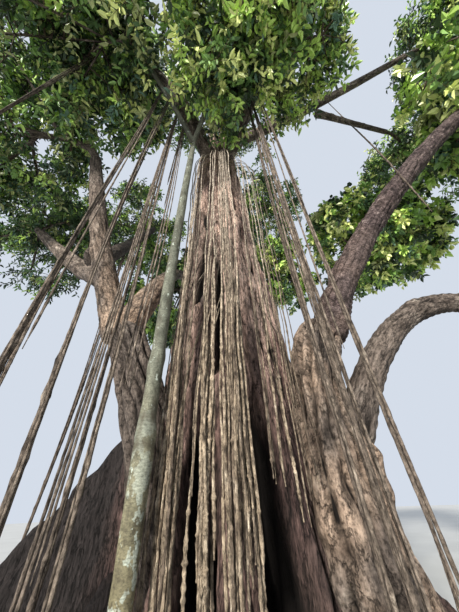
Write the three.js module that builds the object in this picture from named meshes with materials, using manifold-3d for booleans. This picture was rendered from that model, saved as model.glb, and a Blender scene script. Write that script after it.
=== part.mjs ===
// A banyan: one fluted trunk with plank buttresses, two side stems, boughs, hanging roots and a crown
// of leafy masses. Millimetres, +Z up. The origin is the middle of the flat cut at ground level, and the
// side that is seen first faces -Y.
import * as THREE from "three";
import { mergeVertices } from "three/addons/utils/BufferGeometryUtils.js";
import Module from "manifold-3d";

const wasm = await Module();
wasm.setup();

// Driving sizes
const CLEARANCE = 0.5; // what a cut leaves between two pieces
const FACE_GAP = 0.3; // between a bough's end and the stem of its leaves
const TRUNK_TOP = 10900;
const TRUNK_SLIM_RADIUS = 330; // what the radius tends to, far up
const TRUNK_FOOT_SWELL = 900; // what the foot's radius adds to that
const TRUNK_SWELL_HEIGHT = 5600;
const TRUNK_LEAN = new THREE.Vector2(-220, -380); // how far the top stands from the foot
const FLUTE_DEPTH = 0.075; // share of the radius
const STEM_CUT = 0.5; // share of a side stem that belongs to the trunk's own solid
const SKIRT_GAP = 12; // between the trunk and a root that lies along it
const CURTAIN_MIDDLE = new THREE.Vector2(-100, -380); // the upright line that its roots hang round
const CURTAIN_TOP = 9000; // where the curtain's roots leave the trunk
const CURTAIN_SPRING = 6800; // where they start to hang straight
const LEAF_LENGTH = 1900; // each leaf stands for a whole spray
const LEAF_SHAPE = 0.6; // width over length
const LEAF_THICKNESS = 30;
const LEAF_ROOM = 980; // least distance between the middles of two leaves
const LAST_LEAF = 0.965; // share of the twig where its last leaf is rooted
const LEAF_SPACING = 0.24; // share of the twig between one leaf and the next
const LEAF_ATTEMPTS = 6; // directions tried before a leaf is left out
const TWIGS_PER_MASS = 8;
const LEAVES_PER_TWIG = 3;
const TWIG_REACH = 0.66; // share of a mass's radius where its twigs end
const TWIG_TIP = 26; // radius at a twig's end
const GOLDEN_ANGLE = 2.39996;
const LIMB_ROOM = 90; // least gap between foliage and a limb
const SPACE_MARGIN = 20; // least gap between foliage and the edge of its own space

const COLOURS = {
  bark: { color: 0x6d5a4b, roughness: 0.9 },
  root: { color: 0x8a7660, roughness: 0.85 },
  pillar: { color: 0x77765b, roughness: 0.8 },
  leaf: { color: 0x3f6b26, roughness: 0.6 },
};

// Plank buttresses: compass angle from +X, reach from the trunk's middle, height at the trunk, and how far
// the tip has curled round
const BUTTRESSES = [
  { angle: 194, reach: 4000, height: 3300, thickness: 330, curl: -12 },
  { angle: 216, reach: 3100, height: 1900, thickness: 300, curl: 10 },
  { angle: 247, reach: 2250, height: 1150, thickness: 280, curl: -12 },
  { angle: 306, reach: 2450, height: 1350, thickness: 300, curl: 14 },
  { angle: 334, reach: 3100, height: 1950, thickness: 320, curl: -10 },
  { angle: 6, reach: 3500, height: 2200, thickness: 320, curl: 12 },
  { angle: 47, reach: 3300, height: 2300, thickness: 330, curl: 15 },
  { angle: 92, reach: 3600, height: 2400, thickness: 340, curl: -12 },
  { angle: 129, reach: 3200, height: 2000, thickness: 310, curl: 12 },
  { angle: 166, reach: 3700, height: 2300, thickness: 320, curl: 10 },
];

// The two side stems, which leave the trunk's foot. Each runs foot, elbow, tip.
const STEMS = {
  left_stem: { path: [[-450, -500, 0], [-750, -500, 2100], [-1720, -340, 3800]], radii: [300, 250] },
  right_stem: { path: [[1200, -380, 0], [740, -580, 1900], [1340, -460, 3600]], radii: [440, 260] },
};

// Boughs. from is the limb that carries one; the foot lies inside it.
const BOUGHS = {
  left_outer_bough: {
    from: "left_stem",
    path: [[-1740, -320, 3600], [-2450, -560, 5300], [-3050, -1150, 8100]],
    radii: [225, 125],
  },
  left_inner_bough: {
    from: "left_stem",
    path: [[-1700, -320, 3600], [-1250, 60, 5900], [-1850, 3700, 8900]],
    radii: [220, 125],
  },
  grey_bough: {
    from: "left_outer_bough",
    path: [[-2200, -480, 4800], [-3150, 150, 5500], [-5300, 600, 7800]],
    radii: [205, 130],
  },
  left_back_bough: {
    from: "left_outer_bough",
    path: [[-2450, -560, 5200], [-3250, 950, 7000], [-3300, 3000, 11300]],
    radii: [195, 130],
  },
  right_bough: {
    from: "right_stem",
    path: [[1360, -450, 3350], [2320, -760, 5600], [5550, -1650, 8450]],
    radii: [235, 150],
  },
  right_low_bough: {
    from: "right_stem",
    path: [[1200, -550, 1950], [2230, -660, 3870], [3230, -780, 3660]],
    radii: [190, 125],
  },
  right_low_bough_end: {
    from: "right_low_bough",
    path: [[3200, -776, 3666], [4500, -900, 3500], [5650, -1050, 4950]],
    radii: [124, 90],
  },
  right_back_bough: {
    from: "right_stem",
    path: [[1200, -470, 3050], [2300, 900, 4600], [4500, 3200, 8100]],
    radii: [215, 135],
  },
  back_bough: {
    from: "trunk",
    path: [[0, 100, 7300], [500, 2100, 8500], [1400, 4700, 10100]],
    radii: [250, 140],
  },
  high_left_bough: {
    from: "trunk",
    path: [[-300, -420, 9150], [-1100, -2551, 10300], [-4000, -3000, 12700]],
    radii: [210, 130],
  },
  high_front_bough: {
    from: "trunk",
    path: [[-20, -420, 9150], [986, -1854, 10200], [1900, -3900, 12600]],
    radii: [200, 130],
  },
  high_right_bough: {
    from: "trunk",
    path: [[-150, -400, 10500], [2200, -950, 11000], [6200, -2050, 13100]],
    radii: [160, 90],
  },
  high_right_fork: {
    from: "high_right_bough",
    path: [[3050, -1040, 11380], [4500, -600, 11800], [6100, -150, 12250]],
    radii: [100, 75],
  },
  high_back_bough: {
    from: "trunk",
    path: [[-180, -300, 10500], [350, 1500, 11700], [800, 3100, 13300]],
    radii: [230, 140],
  },
  leader: {
    from: "trunk",
    path: [[-200, -350, 10600], [-350, -500, 12800], [100, -150, 14800]],
    radii: [290, 170],
  },
  pillar_left_fork: {
    from: "front_pillar",
    path: [[-650, -1500, 7900], [-1050, -2050, 8600], [-1600, -2800, 8900]],
    radii: [50, 44],
  },
  pillar_right_fork: {
    from: "front_pillar",
    path: [[-650, -1500, 7900], [-350, -1900, 8700], [100, -2500, 9100]],
    radii: [50, 44],
  },
};

// A root that has grown as thick as a pole, from the ground up to where it forks
const PILLARS = {
  front_pillar: { path: [[-640, -1500, 0], [-740, -1500, 2600], [-640, -1500, 8050]], radii: [86, 64] },
};

// Roots that hang straight down: the bough that carries one, how far along it, the height of the root's
// lower end, and its radius
const HANGING_ROOTS = [
  { from: "high_left_bough", at: 0.465, low: 0, radius: 40 },
  { from: "high_left_bough", at: 0.413, low: 0, radius: 42 },
  { from: "high_left_bough", at: 0.345, low: 250, radius: 24 },
  { from: "high_left_bough", at: 0.29, low: 2300, radius: 20 },
  { from: "high_left_bough", at: 0.78, low: 1900, radius: 34 },
  { from: "high_front_bough", at: 0.385, low: 0, radius: 36 },
  { from: "high_front_bough", at: 0.425, low: 0, radius: 38 },
  { from: "high_front_bough", at: 0.485, low: 900, radius: 22 },
  { from: "high_right_bough", at: 0.62, low: 5200, radius: 28 },
  { from: "back_bough", at: 0.55, low: 0, radius: 60 },
  { from: "back_bough", at: 0.75, low: 0, radius: 44 },
  { from: "right_back_bough", at: 0.6, low: 0, radius: 55 },
  { from: "left_back_bough", at: 0.55, low: 0, radius: 50 },
  { from: "grey_bough", at: 0.6, low: 0, radius: 52 },
];

// Curtains of roots that hang before the trunk's face and lie along its foot. angle is the middle's
// compass angle, hang is its distance from their middle line, and each next strand is a step further round.
const CURTAINS = [
  { angle: 248, hang: 1080, strands: 4, step: 2.6, low: 350, radius: 22 },
  { angle: 263.8, hang: 1130, strands: 3, step: 2.6, low: 450, radius: 27 },
  { angle: 275.8, hang: 1130, strands: 4, step: 2.9, low: 400, radius: 27 },
  { angle: 303, hang: 1050, strands: 4, step: 8.5, low: 1400, radius: 20 },
];

// Masses of leaves: the bough that carries one, the middle and the three radii of its space
const MASSES = {
  leaves_front_left: { bough: "pillar_left_fork", centre: [-3000, -2900, 9500], radii: [2600, 2300, 1800] },
  leaves_front: { bough: "pillar_right_fork", centre: [500, -2800, 9500], radii: [2700, 2200, 1700] },
  leaves_left: { bough: "left_outer_bough", centre: [-6100, -1500, 9600], radii: [2900, 2700, 2300] },
  leaves_far_left: { bough: "grey_bough", centre: [-7000, 2000, 9800], radii: [2900, 2900, 2300] },
  leaves_left_back: { bough: "left_back_bough", centre: [-5000, 4400, 13000], radii: [3100, 3000, 2500] },
  leaves_back_left: { bough: "left_inner_bough", centre: [-2300, 6000, 9600], radii: [3000, 2800, 2300] },
  leaves_right_low: {
    bough: "right_low_bough_end",
    centre: [7000, -1400, 5900],
    radii: [2100, 2300, 1700],
  },
  leaves_right: { bough: "right_bough", centre: [7000, -1900, 9700], radii: [2500, 2500, 2000] },
  leaves_right_back: { bough: "right_back_bough", centre: [6000, 3000, 9900], radii: [2800, 2700, 2300] },
  leaves_back: { bough: "back_bough", centre: [1900, 6300, 11000], radii: [3000, 2800, 2400] },
  leaves_high_right: { bough: "high_right_bough", centre: [8300, -2500, 13700], radii: [2500, 2500, 2100] },
  leaves_high_right_back: {
    bough: "high_right_fork",
    centre: [8500, 1500, 12800],
    radii: [2500, 2700, 2100],
  },
  leaves_high_front: { bough: "high_front_bough", centre: [1800, -4800, 14000], radii: [3000, 2800, 2300] },
  leaves_high_left: { bough: "high_left_bough", centre: [-4900, -3200, 13700], radii: [3200, 3000, 2500] },
  leaves_high_back: { bough: "high_back_bough", centre: [1400, 4200, 14800], radii: [3200, 3100, 2500] },
  leaves_top: { bough: "leader", centre: [-200, -500, 17000], radii: [3500, 3400, 2400] },
};

const vector = (p) => new THREE.Vector3(...p);
const radians = THREE.MathUtils.degToRad;

// Numbers from 0 to 1 that are the same on every run
function seededRandom(seed) {
  let state = seed;
  return () => {
    state = (state * 1664525 + 1013904223) % 4294967296;
    return state / 4294967296;
  };
}

// Solids and meshes

// Closes a stack of rings into one geometry: quads between neighbours and a flat fan at each end
function loft(rings) {
  const sides = rings[0].length;
  const positions = rings.flat().flatMap((p) => [p.x, p.y, p.z]);
  const index = [];
  for (let r = 0; r + 1 < rings.length; r++)
    for (let s = 0; s < sides; s++) {
      const a = r * sides + s;
      const b = r * sides + ((s + 1) % sides);
      index.push(a, b, a + sides, b, b + sides, a + sides);
    }
  const last = (rings.length - 1) * sides;
  for (let s = 1; s + 1 < sides; s++) {
    index.push(0, s + 1, s);
    index.push(last, last + s, last + s + 1);
  }
  const geometry = new THREE.BufferGeometry();
  geometry.setAttribute("position", new THREE.Float32BufferAttribute(positions, 3));
  geometry.setIndex(index);
  return geometry;
}

function toSolid(geometry) {
  const merged = mergeVertices(geometry, 1e-3);
  const mesh = new wasm.Mesh({
    numProp: 3,
    vertProperties: merged.attributes.position.array,
    triVerts: new Uint32Array(merged.index.array),
  });
  return new wasm.Manifold(mesh);
}

function toGeometry(solid) {
  const mesh = solid.getMesh();
  const geometry = new THREE.BufferGeometry();
  geometry.setAttribute("position", new THREE.BufferAttribute(mesh.vertProperties, 3));
  geometry.setIndex(new THREE.BufferAttribute(mesh.triVerts, 1));
  const flat = geometry.toNonIndexed();
  flat.computeVertexNormals();
  return flat;
}

// Cuts leave scraps: the largest piece is the limb, and a sealed hollow is filled by leaving its shell out
function mainPiece(solid) {
  return solid.decompose().reduce((best, piece) => (piece.volume() > best.volume() ? piece : best));
}

function boxesMeet(a, b) {
  const [p, q] = [a.boundingBox(), b.boundingBox()];
  return [0, 1, 2].every((i) => p.min[i] < q.max[i] && q.min[i] < p.max[i]);
}

// Limbs

const limbCurve = (limb) => new THREE.QuadraticBezierCurve3(...limb.path.map(vector));

function limbRadius(limb, t) {
  const [thick, thin] = limb.radii;
  const collar = limb.from ? 0.3 * Math.exp(-14 * t) : 0;
  return (thick + (thin - thick) * t) * (1 + collar);
}

// Rings square to the limb's own line, each a little uneven, as bark is
function limbRings(limb, { start = 0, end = 1, sides = 7, steps = 5, grow = 0 } = {}) {
  const curve = limbCurve(limb);
  const frames = curve.computeFrenetFrames(48);
  return Array.from({ length: steps + 1 }, (_, k) => {
    const t = start + ((end - start) * k) / steps;
    const tangent = curve.getTangent(t);
    const beyond = k === 0 ? -grow : k === steps ? grow : 0;
    const middle = curve.getPoint(t).addScaledVector(tangent, beyond);
    const normal = frames.normals[Math.round(t * 48)].clone();
    normal.addScaledVector(tangent, -normal.dot(tangent)).normalize();
    const across = tangent.clone().cross(normal);
    return Array.from({ length: sides }, (_, s) => {
      const turn = (2 * Math.PI * s) / sides;
      const uneven = 1 + 0.07 * Math.sin(2 * turn + 5 * t) + 0.04 * Math.sin(3 * turn + 9 * t);
      const radius = limbRadius(limb, t) * uneven + grow;
      return middle
        .clone()
        .addScaledVector(normal, radius * Math.cos(turn))
        .addScaledVector(across, radius * Math.sin(turn));
    });
  });
}

// A side stem's first half, from a level ring at the ground
function stemFootRings(limb, grow = 0) {
  const rings = limbRings(limb, { end: STEM_CUT, sides: 12, steps: 5, grow });
  rings[0].forEach((p) => p.setZ(-grow));
  return rings;
}

// The trunk

function trunkMiddle(z) {
  const rise = Math.min(z / TRUNK_TOP, 1) ** 1.5;
  return TRUNK_LEAN.clone().multiplyScalar(rise);
}

function trunkRadius(angle, z) {
  const swell = TRUNK_FOOT_SWELL * Math.exp(-z / TRUNK_SWELL_HEIGHT);
  const flutes = 0.6 * Math.cos(7 * angle + 1.1 + z / 5200) + 0.4 * Math.cos(12 * angle + z / 3600);
  return (TRUNK_SLIM_RADIUS + swell) * (1 + FLUTE_DEPTH * flutes);
}

function trunkColumn(grow) {
  const heights = [0, 350, 900, 1700, 2700, 3900, 5300, 6900, 8500, 9800, TRUNK_TOP - 450, TRUNK_TOP];
  const sides = 32;
  const rings = heights.map((z, k) => {
    const middle = trunkMiddle(z);
    const drawnIn = k === heights.length - 1 ? 0.6 : 1; // the top closes in toward the leader
    return Array.from({ length: sides }, (_, s) => {
      const angle = (2 * Math.PI * s) / sides;
      const radius = trunkRadius(angle, z) * drawnIn + grow;
      const level = k === 0 ? -grow : k === heights.length - 1 ? z + grow : z;
      return new THREE.Vector3(
        middle.x + radius * Math.cos(angle),
        middle.y + radius * Math.sin(angle),
        level,
      );
    });
  });
  return toSolid(loft(rings));
}

// One buttress: upright sections that shrink outward from inside the trunk to a tip on the ground
function buttressSolid({ angle, reach, height, thickness, curl }, grow) {
  const start = 500;
  const stations = 5;
  const rings = Array.from({ length: stations + 1 }, (_, k) => {
    const share = k / stations;
    const distance = start + (reach - start) * share + grow * share;
    const bearing = radians(angle + curl * share * share);
    const out = new THREE.Vector3(Math.cos(bearing), Math.sin(bearing), 0);
    const side = new THREE.Vector3(-out.y, out.x, 0);
    const top = Math.max(height * (1 - share) ** 1.55, 70) + grow;
    const half = thickness * (0.62 - 0.32 * share);
    const section = [
      [-1.35, 0],
      [1.35, 0],
      [0.8, 0.3],
      [0.5, 0.8],
      [0.22, 1],
      [-0.22, 1],
      [-0.5, 0.8],
      [-0.8, 0.3],
    ];
    return section.map(([across, up]) =>
      out
        .clone()
        .multiplyScalar(distance)
        .addScaledVector(side, across * half + Math.sign(across) * grow)
        .setZ(up ? up * top : -grow),
    );
  });
  return toSolid(loft(rings));
}

function trunkSolid(grow = 0) {
  const feet = Object.values(STEMS).map((stem) => toSolid(loft(stemFootRings(stem, grow))));
  const planks = BUTTRESSES.map((plank) => buttressSolid(plank, grow));
  return [...feet, ...planks].reduce((sum, piece) => sum.add(piece), trunkColumn(grow));
}

// Hanging roots

function straightRoot({ from, at, low, radius }) {
  const top = limbCurve(LIMBS[from]).getPoint(at);
  const upper = radius * 0.8;
  const sway = radius * 1.6;
  const heights = [0, 0.08, 0.3, 0.52, 0.75, 1].map((h) => low + (top.z - low) * h);
  const rings = heights.map((z, k) => {
    const share = k / (heights.length - 1);
    const thinned = low > 0 && k === 0 ? 0.35 : 1;
    const r = (radius + (upper - radius) * share) * thinned;
    const x = top.x + sway * Math.sin(5 * share + at * 20) * (1 - share);
    const y = top.y + sway * Math.cos(4 * share + at * 31) * (1 - share);
    return ringAt(x, y, z, r, 5);
  });
  return toSolid(loft(rings));
}

const ringAt = (x, y, z, radius, sides) =>
  Array.from({ length: sides }, (_, s) => {
    const turn = (2 * Math.PI * s) / sides;
    return new THREE.Vector3(x + radius * Math.cos(turn), y + radius * Math.sin(turn), z);
  });

// Where a strand's middle runs at a height: straight down, and pushed out where the trunk swells
function strandPoint(bearing, hang, z, radius) {
  const middle = trunkMiddle(z);
  const x = CURTAIN_MIDDLE.x + hang * Math.cos(bearing);
  const y = CURTAIN_MIDDLE.y + hang * Math.sin(bearing);
  const angle = Math.atan2(y - middle.y, x - middle.x);
  const free = Math.hypot(x - middle.x, y - middle.y);
  const bark = trunkRadius(angle, z);
  const rooted = Math.max(0, (z - CURTAIN_SPRING) / (CURTAIN_TOP - CURTAIN_SPRING)) ** 2;
  const hanging = Math.max(free, bark * 1.02 + radius + SKIRT_GAP);
  const distance = hanging + (bark - 3 * radius - hanging) * rooted;
  return new THREE.Vector3(
    middle.x + distance * Math.cos(angle),
    middle.y + distance * Math.sin(angle),
    z,
  );
}

// Strands side by side, grown together where short ties cross from one to the next
function curtainSolid({ angle, hang, strands, step, low, radius }) {
  const first = angle - (step * (strands - 1)) / 2;
  const bearings = Array.from({ length: strands }, (_, k) => radians(first + step * k));
  const shares = [0, 0.06, 0.35, 0.87, 0.95, 1];
  const strandPieces = bearings.map((bearing, k) => {
    const bottom = low + 420 * (k % 3);
    const rings = shares.map((share) => {
      const p = strandPoint(bearing, hang, bottom + (CURTAIN_TOP - bottom) * share, radius);
      return ringAt(p.x, p.y, p.z, radius * (share ? 1 - 0.25 * share : 0.4), 4);
    });
    return toSolid(loft(rings));
  });
  const tiePieces = bearings.slice(1).map((bearing, k) => {
    const height = k % 2 ? 6000 : 2700 + 250 * k;
    const a = strandPoint(bearings[k], hang, height, radius);
    const b = strandPoint(bearing, hang, height + 160, radius);
    return twigSolid(a, b, radius * 0.6, radius * 0.6);
  });
  return [...strandPieces, ...tiePieces].reduce((sum, piece) => sum.add(piece));
}

// Foliage

// A three-sided tapering stick
function twigSolid(from, to, thick, thin) {
  const along = to.clone().sub(from).normalize();
  const other = Math.abs(along.z) < 0.9 ? new THREE.Vector3(0, 0, 1) : new THREE.Vector3(1, 0, 0);
  const side = along.clone().cross(other).normalize();
  const up = along.clone().cross(side);
  const ring = (middle, radius) =>
    [0, 1, 2].map((s) => {
      const turn = (2 * Math.PI * s) / 3;
      return middle
        .clone()
        .addScaledVector(side, radius * Math.cos(turn))
        .addScaledVector(up, radius * Math.sin(turn));
    });
  return toSolid(loft([ring(from, thick), ring(to, thin)]));
}

// The six corners of a leaf: foot, tip, two edges and the two faces of its midrib
function leafCorners(foot, along, tilt, length, width) {
  const level = Math.abs(along.z) < 0.95 ? new THREE.Vector3(0, 0, 1) : new THREE.Vector3(1, 0, 0);
  const side = along.clone().cross(level).normalize().applyAxisAngle(along, tilt);
  const face = side.clone().cross(along);
  const broad = foot.clone().addScaledVector(along, length * 0.45);
  const half = LEAF_THICKNESS / 2;
  return [
    foot.clone(),
    foot.clone().addScaledVector(along, length),
    broad.clone().addScaledVector(side, width / 2).addScaledVector(face, -half),
    broad.clone().addScaledVector(side, -width / 2).addScaledVector(face, -half),
    broad.clone().addScaledVector(face, half),
    broad.clone().addScaledVector(face, -2 * half),
  ];
}

function leafSolid(corners) {
  const geometry = new THREE.BufferGeometry().setFromPoints(corners);
  geometry.setIndex([0, 4, 2, 0, 3, 4, 0, 5, 3, 0, 2, 5, 1, 2, 4, 1, 4, 3, 1, 3, 5, 1, 5, 2]);
  const solid = toSolid(geometry);
  if (solid.volume() > 0) return solid;
  geometry.setIndex([0, 2, 4, 0, 4, 3, 0, 3, 5, 0, 5, 2, 1, 4, 2, 1, 3, 4, 1, 5, 3, 1, 2, 5]);
  return toSolid(geometry);
}

// Tells whether a point lies in a mass's own space: its ellipsoid, on its side of the flat borders
// with the other masses, clear of every limb
function spaceTest(name) {
  const own = MASSES[name];
  const centre = vector(own.centre);
  const size = (mass) => (mass.radii[0] + mass.radii[1] + mass.radii[2]) / 3;
  const others = Object.entries(MASSES)
    .filter(([other]) => other !== name)
    .map(([, mass]) => ({ centre: vector(mass.centre), size: size(mass) }));
  return (point) => {
    const offset = point.clone().sub(centre).divide(vector(own.radii));
    if (offset.length() > 1) return false;
    return others.every((other) => {
      const apart = other.centre.distanceTo(centre);
      const theirs = point.distanceToSquared(other.centre) - other.size ** 2;
      const ours = point.distanceToSquared(centre) - size(own) ** 2;
      return (theirs - ours) / (2 * apart) > SPACE_MARGIN;
    });
  };
}

const LIMB_SAMPLES = 24;
function limbSamples(limb) {
  const curve = limbCurve(limb);
  return Array.from({ length: LIMB_SAMPLES + 1 }, (_, k) => {
    const t = k / LIMB_SAMPLES;
    return { point: curve.getPoint(t), radius: limbRadius(limb, t) };
  });
}

// Tells whether a segment comes too near to a limb or a hanging root
function makeTouchTest(obstacles) {
  const line = new THREE.Line3();
  const near = new THREE.Vector3();
  return (from, to, halfWidth) => {
    line.set(from, to);
    return obstacles.some(({ point, radius }) => {
      line.closestPointToPoint(point, true, near);
      return near.distanceTo(point) < radius + halfWidth + LIMB_ROOM;
    });
  };
}

// Twigs fan out from a mass's stem by the golden angle, each to a point of the mass's own space. All their
// random numbers are drawn before any leaf's.
function massTwigs(mass, stem, random, inside, touches) {
  const centre = vector(mass.centre);
  const reach = vector(mass.radii).multiplyScalar(TWIG_REACH);
  const twigs = [];
  for (let k = 0; k < TWIGS_PER_MASS; k++) {
    const height = 1 - (2 * k + 1) / TWIGS_PER_MASS;
    const around = k * GOLDEN_ANGLE + random() * 0.7;
    const flat = Math.sqrt(1 - height * height);
    const direction = new THREE.Vector3(flat * Math.cos(around), flat * Math.sin(around), height);
    const from = stem.getPoint(0.55 + 0.42 * ((k * 0.618) % 1));
    const target = direction.multiply(reach).add(centre);
    for (let pull = 0; pull < 8 && !inside(target); pull++) target.lerp(centre, 0.12);
    if (!touches(from.clone().lerp(target, 0.5), target, 0)) twigs.push({ from, target });
  }
  return twigs;
}

// Tries a leaf in several directions from its foot on a twig, and gives the first that has room
function fittedLeaf(foot, along, place, random, fits) {
  const length = LEAF_LENGTH * (0.85 + 0.3 * random());
  for (let attempt = 0; attempt < LEAF_ATTEMPTS; attempt++) {
    const turn = place * 2.1 + random() * 2.5 + attempt;
    const spread = (place ? 0.8 : 0.25) + attempt * 0.3;
    const bend = new THREE.Vector3(Math.cos(turn), Math.sin(turn), 0.2 - 0.6 * random());
    const out = along.clone().addScaledVector(bend, spread).normalize();
    const corners = leafCorners(foot, out, (random() - 0.5) * 1.4, length, length * LEAF_SHAPE);
    if (fits(corners, length)) return corners;
  }
  return null;
}

// A mass grows from its bough's tip: one stem to near the middle, then twigs, and leaves along each twig
function growMass(name, seed, touches) {
  const mass = MASSES[name];
  const random = seededRandom(seed);
  const inside = spaceTest(name);
  const bough = LIMBS[mass.bough];
  const curve = limbCurve(bough);
  const onward = curve.getTangent(1);
  const tip = curve.getPoint(1).addScaledVector(onward, FACE_GAP);
  const hub = tip.clone().lerp(vector(mass.centre), 0.75);
  const bend = tip.clone().addScaledVector(onward, tip.distanceTo(hub) * 0.4);
  const stemRadius = bough.radii[1] * 0.8;
  const stemLimb = {
    path: [tip, bend, hub].map((p) => p.toArray()),
    radii: [stemRadius, stemRadius * 0.55],
  };
  const twigs = massTwigs(mass, limbCurve(stemLimb), random, inside, touches);
  const leafMiddles = [];
  const fits = (corners, length) => {
    const middle = corners[0].clone().lerp(corners[1], 0.5);
    const crowded = leafMiddles.some((other) => other.distanceTo(middle) < LEAF_ROOM);
    if (crowded || !corners.slice(1).every(inside)) return false;
    if (touches(corners[0], corners[1], length * LEAF_SHAPE * 0.5)) return false;
    leafMiddles.push(middle);
    return true;
  };

  let solid = toSolid(loft(limbRings(stemLimb, { sides: 5, steps: 3 })));
  for (const { from, target } of twigs) {
    solid = solid.add(twigSolid(from, target, stemRadius * 0.5, TWIG_TIP));
    const along = target.clone().sub(from).normalize();
    for (let place = 0; place < LEAVES_PER_TWIG; place++) {
      const foot = from.clone().lerp(target, LAST_LEAF - place * LEAF_SPACING);
      const corners = fittedLeaf(foot, along, place, random, fits);
      if (corners) solid = solid.add(leafSolid(corners));
    }
  }
  return mainPiece(solid);
}

// Assembly

const LIMBS = { ...STEMS, ...PILLARS, ...BOUGHS };
const group = new THREE.Group();
const placed = [];

function addMesh(name, solid, look) {
  const material = new THREE.MeshStandardMaterial({ ...COLOURS[look], metalness: 0 });
  const mesh = new THREE.Mesh(toGeometry(solid), material);
  mesh.name = name;
  group.add(mesh);
}

// Puts a limb in, cut clear of every limb that is already there. cutter is the same limb, grown by the
// clearance.
function place(name, solid, cutter, look) {
  const cut = placed
    .filter((other) => boxesMeet(solid, other))
    .reduce((rest, other) => rest.subtract(other), solid);
  addMesh(name, mainPiece(cut), look);
  placed.push(cutter);
}

place("trunk", trunkSolid(), trunkSolid(CLEARANCE), "bark");

for (const [name, stem] of Object.entries(STEMS)) {
  const half = (grow) => toSolid(loft(limbRings(stem, { start: STEM_CUT, sides: 12, steps: 4, grow })));
  place(name, half(0), half(CLEARANCE), "bark");
}

for (const [name, pillar] of Object.entries(PILLARS)) {
  const rings = (grow) => {
    const made = limbRings(pillar, { sides: 9, steps: 6, grow });
    made[0].forEach((p) => p.setZ(-grow));
    return made;
  };
  place(name, toSolid(loft(rings(0))), toSolid(loft(rings(CLEARANCE))), "pillar");
}

for (const [name, bough] of Object.entries(BOUGHS)) {
  const whole = (grow) => toSolid(loft(limbRings(bough, { grow })));
  place(name, whole(0), whole(CLEARANCE), "bark");
}

HANGING_ROOTS.forEach((root, k) => {
  const solid = straightRoot(root);
  place(`hanging_root_${String(k + 1).padStart(2, "0")}`, solid, solid, "root");
});

CURTAINS.forEach((curtain, k) => {
  const solid = curtainSolid(curtain);
  place(`root_curtain_${k + 1}`, solid, solid, "root");
});

const rootSamples = HANGING_ROOTS.flatMap(({ from, at, low, radius }) => {
  const top = limbCurve(LIMBS[from]).getPoint(at);
  return Array.from({ length: 40 }, (_, k) => ({
    point: new THREE.Vector3(top.x, top.y, low + ((top.z - low) * k) / 39),
    radius: radius * 3,
  }));
});

Object.keys(MASSES).forEach((name, k) => {
  const others = Object.entries(LIMBS).filter(([limb]) => limb !== MASSES[name].bough);
  const ownBough = limbSamples(LIMBS[MASSES[name].bough]).slice(0, -3);
  const obstacles = [...others.flatMap(([, limb]) => limbSamples(limb)), ...ownBough, ...rootSamples];
  addMesh(name, growMass(name, 100 + 7 * k, makeTouchTest(obstacles)), "leaf");
});

export default group;
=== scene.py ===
import math

import bmesh
import bpy
import numpy as np
from mathutils import Matrix, Vector, noise


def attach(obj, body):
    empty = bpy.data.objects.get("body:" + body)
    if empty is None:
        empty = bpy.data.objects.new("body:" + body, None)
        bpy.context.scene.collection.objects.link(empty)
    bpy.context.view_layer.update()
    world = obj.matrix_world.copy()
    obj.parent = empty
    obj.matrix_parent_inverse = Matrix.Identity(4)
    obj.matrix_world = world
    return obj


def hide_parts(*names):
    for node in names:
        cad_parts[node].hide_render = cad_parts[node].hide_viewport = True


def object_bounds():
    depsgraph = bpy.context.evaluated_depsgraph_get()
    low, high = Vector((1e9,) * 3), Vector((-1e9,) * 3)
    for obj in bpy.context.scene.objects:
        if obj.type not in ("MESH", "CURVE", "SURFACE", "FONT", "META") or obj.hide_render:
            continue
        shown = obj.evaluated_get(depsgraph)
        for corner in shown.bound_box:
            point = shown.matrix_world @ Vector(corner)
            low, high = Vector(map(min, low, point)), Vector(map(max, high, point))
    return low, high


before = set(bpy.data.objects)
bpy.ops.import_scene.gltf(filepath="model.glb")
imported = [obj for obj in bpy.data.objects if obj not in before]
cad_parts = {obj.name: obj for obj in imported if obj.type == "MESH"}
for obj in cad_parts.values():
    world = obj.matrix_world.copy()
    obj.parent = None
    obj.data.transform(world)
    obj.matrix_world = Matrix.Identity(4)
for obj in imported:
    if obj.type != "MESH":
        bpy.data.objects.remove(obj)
cad_low, cad_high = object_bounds()

# Sizes that the source gives
TRUNK_TOP = 10.9
TRUNK_SLIM_RADIUS = 0.33  # what the radius tends to, far up
TRUNK_FOOT_SWELL = 0.9  # what the foot's radius adds to that
TRUNK_SWELL_HEIGHT = 5.6
TRUNK_LEAN = np.array([-0.22, -0.38])  # how far the top stands from the foot
FLUTE_DEPTH = 0.075  # share of the radius
PLANK_START = 0.5  # distance from the axis where a buttress starts to slope down
SKIRT_GAP = 0.012  # between the trunk and a root that lies along it
CURTAIN_MIDDLE = (-0.1, -0.38)  # the upright line that its roots hang round
CURTAIN_TOP = 9.0  # where the curtain's roots leave the trunk
CURTAIN_SPRING = 6.8  # where they start to hang straight
TWIGS_PER_MASS = 8
TWIG_REACH = 0.66  # share of a mass's radius where its twigs end
TWIG_TIP = 0.026  # radius at a twig's end
GOLDEN_ANGLE = 2.39996
FACE_GAP = 0.0003  # between a bough's end and the stem of its leaves
LIMB_ROOM = 0.09  # least gap between a twig and a limb
LIMB_SAMPLES = 24  # steps along a limb where twigs look for it
ROOT_SAMPLES = 39  # the same along a hanging root
SPACE_MARGIN = 0.02  # least gap between foliage and the edge of its own space

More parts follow.
